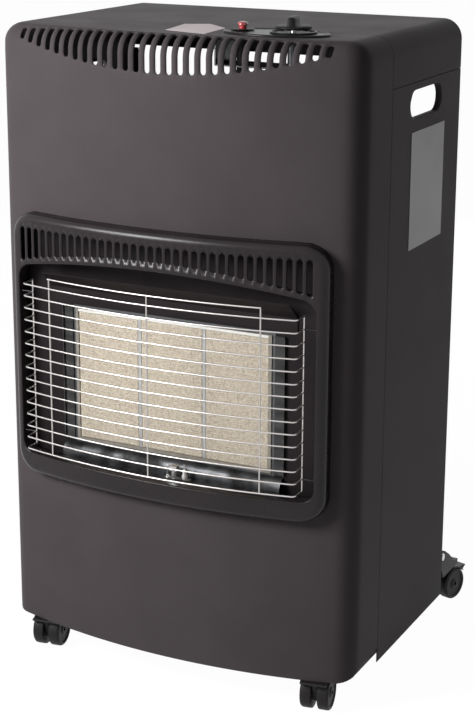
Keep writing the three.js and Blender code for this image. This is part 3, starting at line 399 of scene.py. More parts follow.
# Two skins over one grid. Its columns run across the front, round both corners and along the sides, and its
# rows are distances up the sheet, round the roll and back along the top. Slots start and end on parabolas
# in x, and the sheet dips by crown times each line's share at their edges and is turned in there by the lip.
def frontShell():
    sheet, half = cabinet["sheet"], slots["width"] / 2
    middles = np.linspace(-0.5, 0.5, slots["count"]) * slots["span"]
    columns, sides, crowns = slotColumns(middles, slots["width"], slots["between"], slots["bar"])
    outward = (columns / (slots["span"] / 2)) ** 2
    low = slots["low"] + slots["rise"] * outward
    back = slots["back"] + slots["backGain"] * outward
    straight = cabinet["height"] - cabinet["roll"]
    drawn = cabinet["bow"] - np.sqrt((cabinet["bow"] - back) ** 2 + columns ** 2)
    high = straight + cabinet["roll"] * np.arccos(np.clip(1 - drawn / cabinet["roll"], -1, 1))
    rollEnd = straight + cabinet["roll"] * np.pi / 2

    rows = [np.full(len(columns), value) for value in shell["rows"]] + [low - drop for drop in shell["below"]]
    shares = np.linspace(0, 1, slots["lines"] + 2)[1:-1]
    slotted, slotWidths = slotRows(low, high, half, slots["tips"], shares)
    above = [high + share * (rollEnd - high) for share in shell["above"]]
    firstSlot, lastSlot = len(rows), len(rows) + len(slotted) - 1
    flat = len(sideY) - 1  # rows along the top, and columns along each side
    topShares = np.zeros(len(rows) + len(slotted) + len(above))
    topShares = np.concatenate([topShares, (sideY[1:] - cornerY) / (cabinet["seam"] - cornerY)])[:, None]
    widths = np.array([half] * len(rows) + slotWidths + [half] * (len(above) + flat))[:, None]
    s = np.array(rows + slotted + above)
    s = np.concatenate([s, np.repeat(s[-1:], flat, 0)])

    slotRow = np.zeros((len(s), 1))
    slotRow[firstSlot + 1:lastSlot] = 1
    slotRow[[firstSlot, lastSlot]] = slots["tipShare"]
    crown = slots["crown"] * slotRow * crowns
    lip = sheet + (slots["lip"] - sheet) * slotRow * (sides != 0)
    foot = np.interp(cornerY - cabinet["corner"] * np.cos(cornerAngle), cornerY - np.array(shell["footBack"]),
                     shell["footRise"])
    cornerS = np.maximum(s[:, -1:], foot)
    sideS = np.repeat(np.maximum(s[:, -1:], cabinet["flangeBottom"]), flat, 1)
    skins = []
    for extra, inset in ((crown, 0.0), (np.maximum(lip, crown + sheet), sheet)):
        skins.append(np.concatenate([
            sideSkin(sideS, inset, -1)[:, ::-1],
            cornerSkin(cornerS, inset, topShares, -1)[:, ::-1],
            frontSkin(s, extra, columns + sides * widths, topShares),
            cornerSkin(cornerS, inset, topShares, 1),
            sideSkin(sideS, inset, 1)], 1))
    outer, inner = skins

    keep = np.ones((outer.shape[0] - 1, outer.shape[1] - 1), bool)
    first = flat + len(cornerAngle)
    step = 2 + len(slots["between"])
    keep[firstSlot:lastSlot, first:first + step * slots["count"]:step] = False
    window = slice(shell["rows"].index(shell["windowLow"]), shell["rows"].index(shell["windowHigh"]))
    keep[window, first:first + len(columns) - 1] = False
    covered = np.zeros_like(keep)
    for edge in (slice(0, flat), slice(-flat, None)):  # the sides have no area along the top, and no rim
        keep[-flat:, edge] = False
        covered[-flat:, edge] = True
    middle = (outer[:-1, :-1] + outer[1:, 1:]) / 2
    for holeX in (controls["knobX"], controls["buttonX"]):
        near = np.hypot(middle[..., 0] - holeX, middle[..., 1] - controls["y"]) < controls["hole"]
        keep[near & (middle[..., 2] > shell["topFrom"])] = False
    addPiece("frontShell", *sheetSolid(outer, inner, keep, covered), "charcoalCoat", "cabinet",
             ["front_shell"], "charcoal_coat", 40)


frontShell()
print("front shell")

cover = dict(ys=(150, 200, 250), edge=0.4, ease=0.35, firstRow=10.0, lapHalf=182.0, lapTop=728.5,
             rearGap=0.02)


# The top cover in front view at an inset: up one side, round the roll, across the top and down again.
def loafProfile(inset, low):
    radius = cabinet["roll"] - inset
    x, top = cabinet["half"] - inset, cabinet["height"] - inset
    angle = np.linspace(0, np.pi / 2, 13)
    roll = np.stack([x - radius + radius * np.cos(angle), top - radius + radius * np.sin(angle)], 1)
    half = np.concatenate([[[x, low], [x, low + cover["firstRow"]]], roll])
    across = np.linspace(x - radius, radius - x, 9)[1:-1]
    across = np.stack([across, np.full(len(across), top)], 1)
    return np.concatenate([half, across, half[::-1] * [-1, 1]])


# The profile carried back from the seam, its outer skin a little smaller at both ends, with a rear sheet
# and a strip that laps under the front shell.
def topCover():
    sheet, edge = cabinet["sheet"], cover["edge"]
    front, back = cabinet["seam"] + cabinet["gap"], cabinet["depth"]
    low = cabinet["height"] - cabinet["topDrop"]
    ys = [front, front + edge, *cover["ys"], back - edge, back]
    eases = [cover["ease"], *[0] * (len(ys) - 2), cover["ease"]]
    outer = np.array([flatRing(loafProfile(ease, low), 1, y) for ease, y in zip(eases, ys)])
    inner = np.array([flatRing(loafProfile(sheet, low), 1, y) for y in ys])
    rear = slab(loafProfile(sheet / 2, cabinet["height"] - cabinet["rearDrop"]), 1,
                (back - sheet, back - cover["rearGap"]))
    lap = boxSolid(-cover["lapHalf"], cover["lapHalf"], cabinet["seam"] - cabinet["lapReach"],
                   front + cabinet["lapOver"], cover["lapTop"] - sheet, cover["lapTop"])
    addPiece("topCover", *joined(sheetSolid(outer, inner), rear, lap), "charcoalCoat", "cabinet",
             ["top_cover"], "charcoal_coat")


handle = dict(y=207.1, z=652.0, length=92.6, height=30.0, rim=2.0, depth=6.0, edge=1.4, steps=12)
panel = dict(rimEase=0.6, lipEase=0.5, rollPast=0.8, frameLong=8.0, frameLow=-22.0, frameHigh=3.5, hem=2.0,
             ease=0.5, stripIn=2.7, stripOut=1.5, frontStrip=(44.5, 4.0), upperStrip=(8.0, 14.0),
             upperFront=4.0, upperBack=2.4, rearReach=14.0, rearIn=0.6, rearGap=0.4, rearLow=94.0)


# The hand hole's outline grown by an amount: half circle, top run, half circle and bottom run, in equal
# counts of points.
def holeOutline(amount):
    steps = handle["steps"]
    half, radius = handle["length"] / 2 + amount, handle["height"] / 2 + amount
    turn = np.linspace(-np.pi / 2, np.pi / 2, steps + 1)[:-1]
    run = np.linspace(1, -1, steps + 1)[:-1] * (half - radius)
    end = np.stack([half - radius + radius * np.cos(turn), radius * np.sin(turn)], 1)
    level = np.stack([run, np.full(steps, radius)], 1)
    return np.concatenate([end, level, -end, -level])


# A rectangle's outline in as many points, from corner (u0, v0) over (u0, v1) and round.
def rectangleOutline(u0, u1, v0, v1):
    corners = np.array([[u0, v0], [u0, v1], [u1, v1], [u1, v0], [u0, v0]])
    share = np.linspace(0, 1, handle["steps"] + 1)[:-1, None]
    return np.concatenate([a + share * (b - a) for a, b in zip(corners[:-1], corners[1:])])


# Rings round the hand hole, each an outline at one x: from the rim's inner end over a soft edge, a quarter
# circle, to the panel's border and its inner face. Three strips lap behind the neighbours.
def sidePanel(hand, side):
    half, sheet, edge, rim = cabinet["half"], cabinet["sheet"], handle["edge"], handle["rim"]
    front, back = cabinet["seam"] + cabinet["gap"], cabinet["depth"]
    top = cabinet["height"] - cabinet["topDrop"] - cabinet["gap"]
    behind, ahead = back - handle["y"], front - handle["y"]
    low, high = cabinet["sideBottom"] - handle["z"], top - handle["z"]
    border = rectangleOutline(behind, ahead, low, high)
    frameLong = handle["length"] / 2 + panel["frameLong"]
    around = rectangleOutline(frameLong, -frameLong, panel["frameLow"], high - panel["frameHigh"])
    offset = border - [(behind + ahead) / 2, (low + high) / 2]
    away = np.sign(offset)
    away[np.abs(np.abs(offset) - [(behind - ahead) / 2, (high - low) / 2]) > 0.01] = 0

    def ring(outline, x):
        return flatRing(outline + [handle["y"], handle["z"]], 0, x)

    inner = half - sheet - handle["depth"]
    rings = [ring(holeOutline(rim), half - sheet),
             ring(holeOutline(rim), inner + panel["rimEase"]),
             ring(holeOutline(rim - panel["rimEase"]), inner),
             ring(holeOutline(panel["lipEase"]), inner),
             ring(holeOutline(0), inner + panel["lipEase"])]
    for angle in np.linspace(0, np.pi / 2, 5):
        rings.append(ring(holeOutline(edge * (1 - math.cos(angle))), half - edge * (1 - math.sin(angle))))
    rings += [ring(holeOutline(edge + panel["rollPast"]), half),
              ring(around, half),
              ring(border - panel["hem"] * away, half),
              ring(border - panel["ease"] * away, half),
              ring(border, half - panel["ease"]),
              ring(border, half - sheet)]
    count = len(border)
    faces = gridFaces(len(rings), count, True)
    last = (len(rings) - 1) * count
    faces += [[(i + 1) % count, i, last + i, last + (i + 1) % count] for i in range(count)]

    strip = (half - panel["stripIn"], half - panel["stripOut"])
    laps = [boxSolid(*strip, cabinet["seam"] - cabinet["lapReach"], front + cabinet["lapOver"],
                     panel["frontStrip"][0], top - panel["frontStrip"][1]),
            boxSolid(*strip, front + panel["upperFront"], back - panel["upperBack"],
                     top - panel["upperStrip"][0], top + panel["upperStrip"][1]),
            boxSolid(half - panel["rearReach"], half - panel["rearIn"], back - sheet - panel["rearGap"],
                     back - panel["rearGap"], panel["rearLow"], top)]
    points, faces = joined((np.array(rings), faces), *laps)
    addPiece("sidePanel" + hand, points * [side, 1, 1], faces, "charcoalCoat", "cabinet",
             ["side_panel_" + hand.lower()], "charcoal_coat", 30)


topCover()
sidePanel("Right", 1)
sidePanel("Left", -1)
print("top cover and side panels")

bezelSizes = dict(proud=17.0, half=190.5, low=227.0, high=528.0, corner=28.0, edge=8.0, wall=2.2, seat=0.3,
                  openHalf=180.0, openLow=252.0, openHigh=486.0, arch=17.5, openCorner=14.0, openEdge=1.5,
                  sleeve=(-11.0, -4.0, 3.2), vents=35, pitch=10.16, ventWidth=5.6, ventTop=513.0,
                  ventLow=496.0, ventDrop=22.5, crown=0.9, between=(0.25, 0.5, 0.75), bar=0.5,
                  tips=(0.1, 0.5, 1.3), lines=(0.2, 0.4, 0.6, 0.8), tipShare=0.6, cornerSteps=9,
                  sideSteps=8, bottomSteps=33)


# A closed outline with round corners, clockwise from the top's left end. The top's points stand at xs and
# follow crest(x); past middleX they drop by radius less the root of radius squared less distance squared.
# The right corner goes on by cosine and sine from edgeX, and the left part mirrors the right one.
def bezelLoop(xs, edgeX, middleX, middleLow, radius, crest):
    b = bezelSizes
    past = np.maximum(0, np.abs(xs) - middleX)
    top = np.stack([xs, crest(xs) - radius + np.sqrt(radius ** 2 - past ** 2)], 1)
    angle = np.linspace(math.acos((edgeX - middleX) / radius), 0, b["cornerSteps"])[1:]
    x = middleX + radius * np.cos(angle)
    upper = np.stack([x, crest(x) - radius + radius * np.sin(angle)], 1)
    sideZ = np.linspace(upper[-1, 1], middleLow, b["sideSteps"])[1:-1]
    side = np.stack([np.full(len(sideZ), middleX + radius), sideZ], 1)
    angle = np.linspace(0, np.pi / 2, b["cornerSteps"])
    lower = np.stack([middleX + radius * np.cos(angle), middleLow - radius * np.sin(angle)], 1)
    bottomX = np.linspace(middleX, -middleX, b["bottomSteps"])[1:-1]
    bottom = np.stack([bottomX, np.full(len(bottomX), middleLow - radius)], 1)
    right = np.concatenate([upper, side, lower])
    return np.concatenate([top, right, bottom, right[::-1] * [-1, 1]])


# A ring of columns round the opening, all bent to the front's bow. Rows run from the cabinet up the wall,
# round the edge, a quarter circle, over the face with its vents, and back into the opening.
def bezel():
    b = bezelSizes
    half, edge, lip = b["ventWidth"] / 2, b["edge"], b["openEdge"]
    middles = (np.arange(b["vents"]) - (b["vents"] - 1) / 2) * b["pitch"]
    topX, topSide, topCrown = slotColumns(middles, b["ventWidth"], b["between"], b["bar"])
    edgeX = middles[-1] + half
    top = len(topX)

    def outerLoop(inset, width):
        return bezelLoop(topX + topSide * width, edgeX, b["half"] - b["corner"], b["low"] + b["corner"],
                         b["corner"] - inset, lambda x: b["high"] - inset + 0 * x)

    def innerLoop(grow, width):
        return bezelLoop(topX + topSide * width, edgeX, b["openHalf"] - b["openCorner"],
                         b["openLow"] + b["openCorner"], b["openCorner"] + grow,
                         lambda x: b["openHigh"] - b["arch"] * (x / b["openHalf"]) ** 2 + grow)

    def bent(loop, off):
        return flatRing(loop, 1, bow(loop[:, 0]) + off)

    rows = [bent(outerLoop(0, half), -b["seat"]), bent(outerLoop(0, half), edge - b["proud"])]
    for angle in np.linspace(0, np.pi / 2, 7)[1:]:
        rows.append(bent(outerLoop(edge * (1 - math.cos(angle)), half),
                         edge * (1 - math.sin(angle)) - b["proud"]))

    # over the face each row is a share of the way to the opening: in the top's columns the share that
    # meets the vents' heights, fading to an even one round the rest
    ventHigh = np.minimum(b["ventTop"], outerLoop(edge, half)[:top, 1] - 1)
    ventLow = b["ventLow"] - b["ventDrop"] * (topX / b["openHalf"]) ** 2
    heights, widths = slotRows(ventHigh, ventLow, half, (*b["tips"], half), b["lines"])
    firstVent, lastVent = len(rows), len(rows) + len(heights) - 1
    for number, (height, width) in enumerate(zip(heights, widths)):
        outline, opening = outerLoop(edge, width), innerLoop(lip, width)
        fade = np.clip(np.arange(len(outline) - top) / (b["cornerSteps"] - 1), 0, 1)
        fade = np.minimum(fade, fade[::-1])
        evenShare = (number + 1) / (len(heights) + 1)
        topShare = (outline[:top, 1] - height) / np.maximum(outline[:top, 1] - opening[:top, 1], 1)
        share = np.concatenate([topShare, topShare[0] * (1 - fade) + evenShare * fade])
        face = bent(outline + share[:, None] * (opening - outline), -b["proud"])
        soft = b["tipShare"] if number in (0, len(heights) - 1) else 1.0
        face[:top, 1] += b["crown"] * topCrown * soft
        rows.append(face)
    for angle in np.linspace(0, np.pi / 2, 4):
        rows.append(bent(innerLoop(lip * (1 - math.sin(angle)), half),
                         -b["proud"] + lip * (1 - math.cos(angle))))
    rows += [bent(innerLoop(0, half), depth) for depth in b["sleeve"]]

    grid = np.array(rows)
    count = grid.shape[1]
    keep = np.ones((len(rows) - 1, count), bool)
    step = 2 + len(b["between"])
    keep[firstVent:lastVent, 0:step * b["vents"]:step] = False
    grid = np.concatenate([grid, grid[:, :1]], 1)
    faces = np.array(gridFaces(len(rows), count + 1))[keep.ravel()]
    piece = addPiece("bezel", grid, faces.tolist(), "blackEnamel", "cabinet", ["bezel"], "black_coat", 50,
                     closed=False)
    facing = sum(face.normal.y * face.area for face in piece.data.polygons)
    if facing > 0:  # the face has to look forwards, so that the wall grows behind it
        piece.data.flip_normals()
    wall = piece.modifiers.new("wall", "SOLIDIFY")
    wall.thickness = b["wall"] / 1000
    wall.offset = -1
    wall.use_even_offset = False
    print("bezel:", len(faces), "faces")


bezel()

guard = dict(proud=28.0, half=165.0, depth=19.0, wire=1.8, low=262.0, pitch=13.6, rows=15, top=463.0,
             post=127.5, bend=5.0, weld=0.7, middleZ=360.0, hookX=7.0, hookEnd=179.7)


# Where the guard's cross wires run: a fixed distance before the front's bow.
def guardFront(x):
    return bow(x) - guard["proud"]


# A cross wire along the bow at one height. A turned one bends back by a quarter circle at each end and runs
# straight to backY.
def guardRow(z, half, turned, backY=0.0):
    bend = guard["bend"] if turned else 0
    xs = np.linspace(-half + bend, half - bend, 25)
    path = np.stack([xs, guardFront(xs), np.full(len(xs), z)], 1)
    if turned:
        angle = np.linspace(0, np.pi / 2, 6)[1:]
        endX, endY = path[-1, 0], path[-1, 1]
        turn = np.stack([endX + bend * np.sin(angle), endY + bend * (1 - np.cos(angle)),
                         np.full(len(angle), z)], 1)
        right = np.concatenate([turn, [[half, backY, z]]])
        path = np.concatenate([(right * [-1, 1, 1])[::-1], path, right])
    return sweep(path, guard["wire"] / 2)


# An upright wire from the lowest row to a height, half a wire past both.
def guardPost(x, y, top):
    radius = guard["wire"] / 2
    path = [[x, y, guard["low"] - radius], [x, y, guard["middleZ"]], [x, y, top + radius]]
    return sweep(path, radius, up=(1, 0, 0))


# Turned rows at an even pitch with a straight one above, posts welded behind them and at their ends, and
# short hooks from the end posts into the bezel's opening.
def wireGuard():
    g = guard
    backY = float(guardFront(g["half"]) + g["depth"])
    heights = [g["low"] + i * g["pitch"] for i in range(g["rows"])]
    wires = [guardRow(z, g["half"], True, backY) for z in heights]
    wires.append(guardRow(g["top"], g["post"] + 1, False))
    for x in (-g["post"], 0, g["post"]):
        wires.append(guardPost(x, float(guardFront(x)) + g["weld"] * g["wire"], g["top"]))
    hooks = []
    for side in (-1, 1):
        x = side * g["half"]
        wires.append(guardPost(x, backY, heights[-1]))
        for z in (heights[1], heights[-2]):
            path = [[x, backY, z], [x + side * g["hookX"], backY, z], [side * g["hookEnd"], backY, z]]
            hooks.append(sweep(path, g["wire"] / 2))
    addPiece("wireGuard", *joined(*wires), "chromeWire", "cabinet", ["wire_guard"], "bright_wire", 50)
    addPiece("guardHooks", *joined(*hooks), "blackEnamel", "cabinet", sharp=50)


wireGuard()
print("wire guard")

burner = dict(y=27.4, plaque=75.0, height=146.0, depth=13.0, low=272.0, pitch=79.3, pit=2.5, pitDepth=0.9,
              plainBorder=2.0, easedEdge=0.6)


# A slab whose face is a grid of small pits. Each is the square of two raised cosines multiplied, along x
# and z, times pitDepth; the border is plain and eased at its edge.
def plaque(name, middle):
    p = burner
    step = p["pit"] / 4
    xs = np.arange(0, p["plaque"] + step / 2, step)
    zs = np.linspace(0, p["height"], int(round(p["height"] / step)) + 1)
    x, z = np.meshgrid(xs, zs)
    pits = (0.5 - 0.5 * np.cos(2 * np.pi * x / p["pit"])) * (0.5 - 0.5 * np.cos(2 * np.pi * z / p["pit"]))
    border = np.minimum(np.minimum(x, p["plaque"] - x), np.minimum(z, p["height"] - z))
    depth = p["pitDepth"] * pits ** 2 * (border > p["plainBorder"])
    depth = depth + p["easedEdge"] * np.clip(1 - border / p["easedEdge"], 0, 1)
    face = np.stack([middle - p["plaque"] / 2 + x, p["y"] + depth, p["low"] + z], -1)
    back = face * [1, 0, 1] + [0, p["y"] + p["depth"], 0]
    rows, columns = x.shape
    index = np.arange(rows * columns).reshape(rows, columns)
    loop = np.concatenate([index[0, :], index[1:, -1], index[-1, -2::-1], index[-2:0, 0]]).tolist()
    points = np.concatenate([face.reshape(-1, 3), back.reshape(-1, 3)[loop]])
    start, count = rows * columns, len(loop)
    faces = gridFaces(rows, columns)
    faces += [[loop[(i + 1) % count], loop[i], start + i, start + (i + 1) % count] for i in range(count)]
    faces.append(list(range(start, start + count))[::-1])
    addPiece("plaque" + name, points, faces, "ceramic", "cabinet", ["plaque_" + name.lower()],
             "ceramic_plaque", 60)


for name, middle in (("Left", -burner["pitch"]), ("Centre", 0), ("Right", burner["pitch"])):
    plaque(name, middle)
print("plaques")

tray = dict(half=135.0, back=27.7, top=249.7, rise=16.0, deep=11.0, sheet=1.2, firstStep=6.0, behindFront=1.6)


# A floor that starts behind the bow and turns up under the plaques in a quarter ellipse, by deep times
# cosine and rise times sine.
def lowerTray():
    t = tray
    xs = np.linspace(-t["half"], t["half"], 31)
    angle = np.linspace(0, np.pi / 2, 9)
    start = bow(xs) + t["behindFront"]
    skins = []
    for inset in (0, t["sheet"]):
        top = t["top"] - inset
        riserY = t["back"] - (t["deep"] - inset) * np.cos(angle)
        riser = np.stack([riserY, top + t["rise"] * np.sin(angle)], 1)
        profile = np.concatenate([[[0, top], [t["firstStep"], top]], riser])
        grid = np.stack(np.broadcast_arrays(xs[None, :], profile[:, :1], profile[:, 1:]), -1).copy()
        grid[:2, :, 1] = np.stack([start, (start + profile[2, 0]) / 2])
        skins.append(grid)
    # the steel tray under the plaques in painted shade and painted sheen
    addPiece("lowerTray", *sheetSolid(*skins), "trayEnamel", "cabinet", ["lower_tray"], "burner_steel", 50)


lowerTray()

pilot = dict(x=13.0, y=8.0, foot=251.8, spark=13.0, sensor=-7.5, wire=0.75,
             insulator=[(0, 0), (2.3, 0), (2.9, 0.9), (3.15, 2.6), (3.0, 4.4), (2.3, 5.6), (2.1, 7),
                        (2.4, 7.6), (2.4, 8.6), (2.0, 9.2), (1.9, 10.6), (1.5, 11), (0, 11)],
             nut=[(0, 0), (2.3, 0), (2.3, 1.8), (1.7, 2.4), (0, 2.4)])


# A white turned insulator with a bent wire out of its top, and a leaning rod that tapers out of a nut.
def pilotSet():
    x, y, foot = pilot["x"] + pilot["spark"], pilot["y"], pilot["foot"]
    addPiece("sparkInsulator", *lathe(pilot["insulator"], (x, y), 24, foot), "whiteCeramic", "cabinet",
             ["spark_electrode"], "white_ceramic", 40)
    path = np.array([(0, 0, 10.5), (0, 0, 15), (-0.4, 0, 16.2), (-0.75, 0, 16.7)]) + [x, y, foot]
    addPiece("sparkWire", *sweep(path, pilot["wire"], 8, (0, 1, 0)), "brightSteel", "cabinet", sharp=40)
    x = pilot["x"] + pilot["sensor"]
    path = np.array([(-1.2, 0, 0), (-0.9, 0, 4), (0.2, 0, 9), (1.1, 0, 12.8)]) + [x, y, foot]
    rod = sweep(path, [1.2, 1.1, 0.95, 0.8], 10, (0, 1, 0))
    nut = lathe(pilot["nut"], (x - 0.1, y), 6, foot)
    addPiece("sensingRod", *joined(rod, nut), "brightSteel", "cabinet", ["thermocouple"], "gas_brass", 40)


pilotSet()

seal = dict(front=1.15, back=0.6, low=0.4, high=3.4)


# The top of the plaques' seal, a thin strip just before them that shows as a bright line.
def sealEdge():
    top = burner["low"] + burner["height"]
    half = burner["pitch"] + burner["plaque"] / 2
    strip = boxSolid(-half, half, burner["y"] - seal["front"], burner["y"] - seal["back"], top + seal["low"],
                     top + seal["high"])
    addPiece("sealTopEdge", *strip, "fibreSeal", "cabinet", sharp=40)


sealEdge()
print("tray, pilot and seal")

plate = dict(low=730.3,
             rim=[(1, 0), (1, 1.0), (0.992, 1.6), (0.975, 1.9), (0.955, 1.75), (0.94, 1.2), (0.925, 1.0),
                  (0.6, 1.0)],  # share of the half axes, and height above low
             dial=[(8, 731.3), (24.2, 731.3), (24.5, 731.9), (24.5, 732.7), (24.0, 733.2), (23.0, 733.2),
                   (22.3, 732.6), (22.0, 731.6), (8, 731.6)])


# An oval plate with a raised edge: at each share of its half axes an ellipse at the rim's height. A turned
# ring stands on it round the knob.
def controlPlate():
    c = controls
    angle = np.linspace(0, 2 * np.pi, 96, endpoint=False)
    oval = np.stack([c["plateLong"] * np.cos(angle), c["plateWide"] * np.sin(angle)], 1)
    middle = [c["plateX"], c["plateY"]]
    rings = [flatRing(middle + share * oval, 2, plate["low"] + z) for share, z in plate["rim"]]
    dial = lathe(plate["dial"], (c["knobX"], c["y"]), 64)
    addPiece("controlPlate", *joined(ringsSolid(rings), dial), "glossPlastic", "cabinet", ["escutcheon"],
             "black_plastic", 45)


marks = dict(reach=120, step=24, wideEvery=72, narrow=0.05, wide=0.11, inner=19.6, outer=21.7,
             levels=(731.55, 731.75))


# Pale wedges between two radii, evenly set round the knob, with every third one wider.
def dialMarks():
    parts = []
    for degrees in np.arange(-marks["reach"], marks["reach"] + 1, marks["step"]):
        wide = marks["narrow"] if degrees % marks["wideEvery"] else marks["wide"]
        angle = math.radians(degrees + 90) + wide * np.array([-1, -0.3, 0.3, 1])
        arc = np.stack([np.cos(angle), np.sin(angle)], 1)
        outline = np.concatenate([marks["inner"] * arc, marks["outer"] * arc[::-1]])
        parts.append(slab(outline + [controls["knobX"], controls["y"]], 2, marks["levels"]))
    addPiece("dialMarks", *joined(*parts), "paleInk", "cabinet")


knob = dict(bottom=735.5, turn=15.0, acrossPower=0.45, alongPower=0.7,
            skirt=[(0.01, 0), (17.5, 0), (18.7, 0.5), (19, 1.4), (18.8, 2.6), (17.8, 3.4), (12, 3.7),
                   (0.01, 3.8)],
            blade=[(6.4, 18.0, 3.0), (5.5, 17.6, 4.4), (5.0, 17.3, 7), (4.8, 17.0, 10.4), (4.5, 16.6, 11.9),
                   (3.6, 15.6, 12.7), (2.4, 14.2, 13.0)])


# A turned skirt, and a blade of rounded bars, one for each (half width, half length, height): cosine and
# sine each raised to a power under one, which squares the ellipse, and turned about the knob's axis.
def controlKnob():
    centre = (controls["knobX"], controls["y"])
    angle = np.linspace(0, 2 * np.pi, 48, endpoint=False)
    across = np.sign(np.cos(angle)) * np.abs(np.cos(angle)) ** knob["acrossPower"]
    along = np.sign(np.sin(angle)) * np.abs(np.sin(angle)) ** knob["alongPower"]
    c, s = math.cos(math.radians(knob["turn"])), math.sin(math.radians(knob["turn"]))
    rings = []
    for half, length, height in knob["blade"]:
        u, v = half * across, length * along
        outline = np.stack([centre[0] + u * c - v * s, centre[1] + u * s + v * c], 1)
        rings.append(flatRing(outline, 2, knob["bottom"] + height))
    skirt = lathe(knob["skirt"], centre, 56, knob["bottom"])
    addPiece("controlKnob", *joined(skirt, ringsSolid(rings)), "blackPlastic", "knob", ["control_knob"],
             "black_plastic", 50)


button = dict(collar=[(6.6, 729.0), (6.6, 732.3), (12.2, 732.3), (12.5, 732.6), (12.2, 733.0), (9.6, 733.3),
                      (7.4, 733.1), (6.4, 732.6), (6.2, 729.0)],
              cap=[(0.01, 736.4), (4.9, 736.4), (5.4, 736.8), (5.4, 738.4), (5.0, 739.2), (4.2, 739.8),
                   (2.8, 740.2), (1.4, 740.37), (0.01, 740.4)],
              stem=[(0.01, 714.1), (4.0, 714.1), (4.0, 736.8), (0.01, 736.8)])


# Three turned profiles on one axis: the collar on the plate, and the button's cap on its stem.
def igniter():
    centre = (controls["buttonX"], controls["y"])
    collar = lathe(button["collar"], centre, 40)
    addPiece("igniterCollar", *collar, "blackPlastic", "cabinet", (), "black_plastic", 45)
    pressed = joined(lathe(button["cap"], centre, 40), lathe(button["stem"], centre, 24))
    addPiece("igniterButton", *pressed, "redPlastic", "button", ["igniter_button"], "red_plastic", 45)


controlPlate()
dialMarks()
controlKnob()
igniter()
print("controls")

plates = dict(sideY=(165.3, 264.7), sideZ=(494.1, 622.5), sideX=(-0.05, 0.45),
              top=[(-17, 49), (-29, 113), (-4, 126), (30, 95), (37, 33.5)], topZ=(729.95, 730.15))


# Two thin bare plates: a block on the right side, and a five-sided one on the top.
def barePlates():
    low, high = (cabinet["half"] + x for x in plates["sideX"])
    side = boxSolid(low, high, *plates["sideY"], *plates["sideZ"])
    addPiece("ratingPlate", *side, "greyLabel", "cabinet")
    addPiece("topSticker", *slab(plates["top"], 2, plates["topZ"]), "pinkSticker", "cabinet")


barePlates()

casters = dict(wheel=20.0, width=13.0, trail=12.0, fork=6.0, play=0.5, hood=22.2, hoodFrom=38.0, sheet=1.2,
               hoodPast=0.3, webHalf=2.8, web=21.5, webFoot=(9.0, 8.0), lipTop=38.8, lipReach=24.0,
               lipHalf=14.2,
               hoodEdge=[(1.1, 0), (0.35, 0.5), (0, 1.6)],
               neck=[(0.01, 34), (9.6, 34), (9.4, 42.5), (8.8, 44), (8.8, 50.4), (8.2, 51.2), (4, 51.2),
                     (4, 58.2), (3.4, 59), (0.01, 59)])
casterPlaces = {"front_right": (172.8, 51.6, 189.0), "front_left": (-172.8, 51.6, 189.0),
                "rear_right": (193.3, 370.2, -15.0), "rear_left": (-193.3, 370.2, 15.0)}  # x, y and turn


# A wheel's profile of (radius, distance from the fork) turned about the axle: y and z are the axle's plus
# radius times cosine and sine.
def casterWheel(side):
    k = casters
    r, w = k["wheel"], k["width"]
    profile = np.array([(2.8, 0), (r - 1.2, 0), (r - 0.3, 0.5), (r, 1.6), (r, w - 3.0), (r - 0.4, w - 1.5),
                        (r - 1.5, w - 0.4), (r - 3.0, w), (r - 4.2, w - 0.3), (r - 4.8, w - 1.4),
                        (9, w - 1.8), (6.4, w - 1.6), (5.8, w - 0.6), (5.0, w - 0.3), (2.8, w - 0.3),
                        (2.8, 0)])
    angle = np.linspace(0, 2 * np.pi, 56, endpoint=False)
    x = side * (k["fork"] / 2 + k["play"] + profile[:, 1:]) + 0 * angle
    y = k["trail"] + profile[:, :1] * np.cos(angle)
    z = r + profile[:, :1] * np.sin(angle)
    return np.stack([x, y, z], -1), gridFaces(len(profile), len(angle), True)


# A hood bent round both wheels, by cosine and sine about the axle and lower at its side edges, a web
# between the wheels, a lip at the hood's trailing edge, and a turned neck with its stem.
def casterHousing():
    k = casters
    axleZ, trail = k["wheel"], k["trail"]
    reach = k["fork"] / 2 + k["play"] + k["width"] + k["hoodPast"]
    angle = np.radians(np.linspace(k["hoodFrom"], 180, 22))
    drop, inward = np.array(k["hoodEdge"]).T
    across = np.concatenate([inward - reach, [-8, 0, 8], (reach - inward)[::-1]])
    drop = np.concatenate([drop, [0, 0, 0], drop[::-1]])
    skins = []
    for r in (k["hood"] - drop, k["hood"] - k["sheet"] + 0 * drop):
        y, z = trail + r * np.cos(angle)[:, None], axleZ + r * np.sin(angle)[:, None]
        skins.append(np.stack([np.broadcast_to(across, y.shape), y, z], -1))
    hood = sheetSolid(*skins)
    webAngle = np.radians(np.linspace(k["hoodFrom"], 180, 16))
    footY, footZ = k["webFoot"]
    outline = [(trail + k["web"] * math.cos(a), axleZ + k["web"] * math.sin(a)) for a in webAngle]
    outline += [(trail - footY, axleZ - footZ), (trail + footY, axleZ - footZ)]
    web = slab(outline, 0, (-k["webHalf"], k["webHalf"]))
    tip, top = trail + k["lipReach"], k["lipTop"]
    startY, startZ = trail + k["hood"] * math.cos(angle[0]), axleZ + k["hood"] * math.sin(angle[0])
    outline = [(trail + 10, top), (tip - 0.8, top), (tip, top - 0.7), (tip - 0.4, top - 1.5),
               (startY + 1.0, startZ - 0.2), (startY - 1.5, startZ - 0.3)]
    lip = slab(outline, 0, (-k["lipHalf"], k["lipHalf"]))
    return joined(hood, web, lip, lathe(k["neck"], (0, 0), 28))


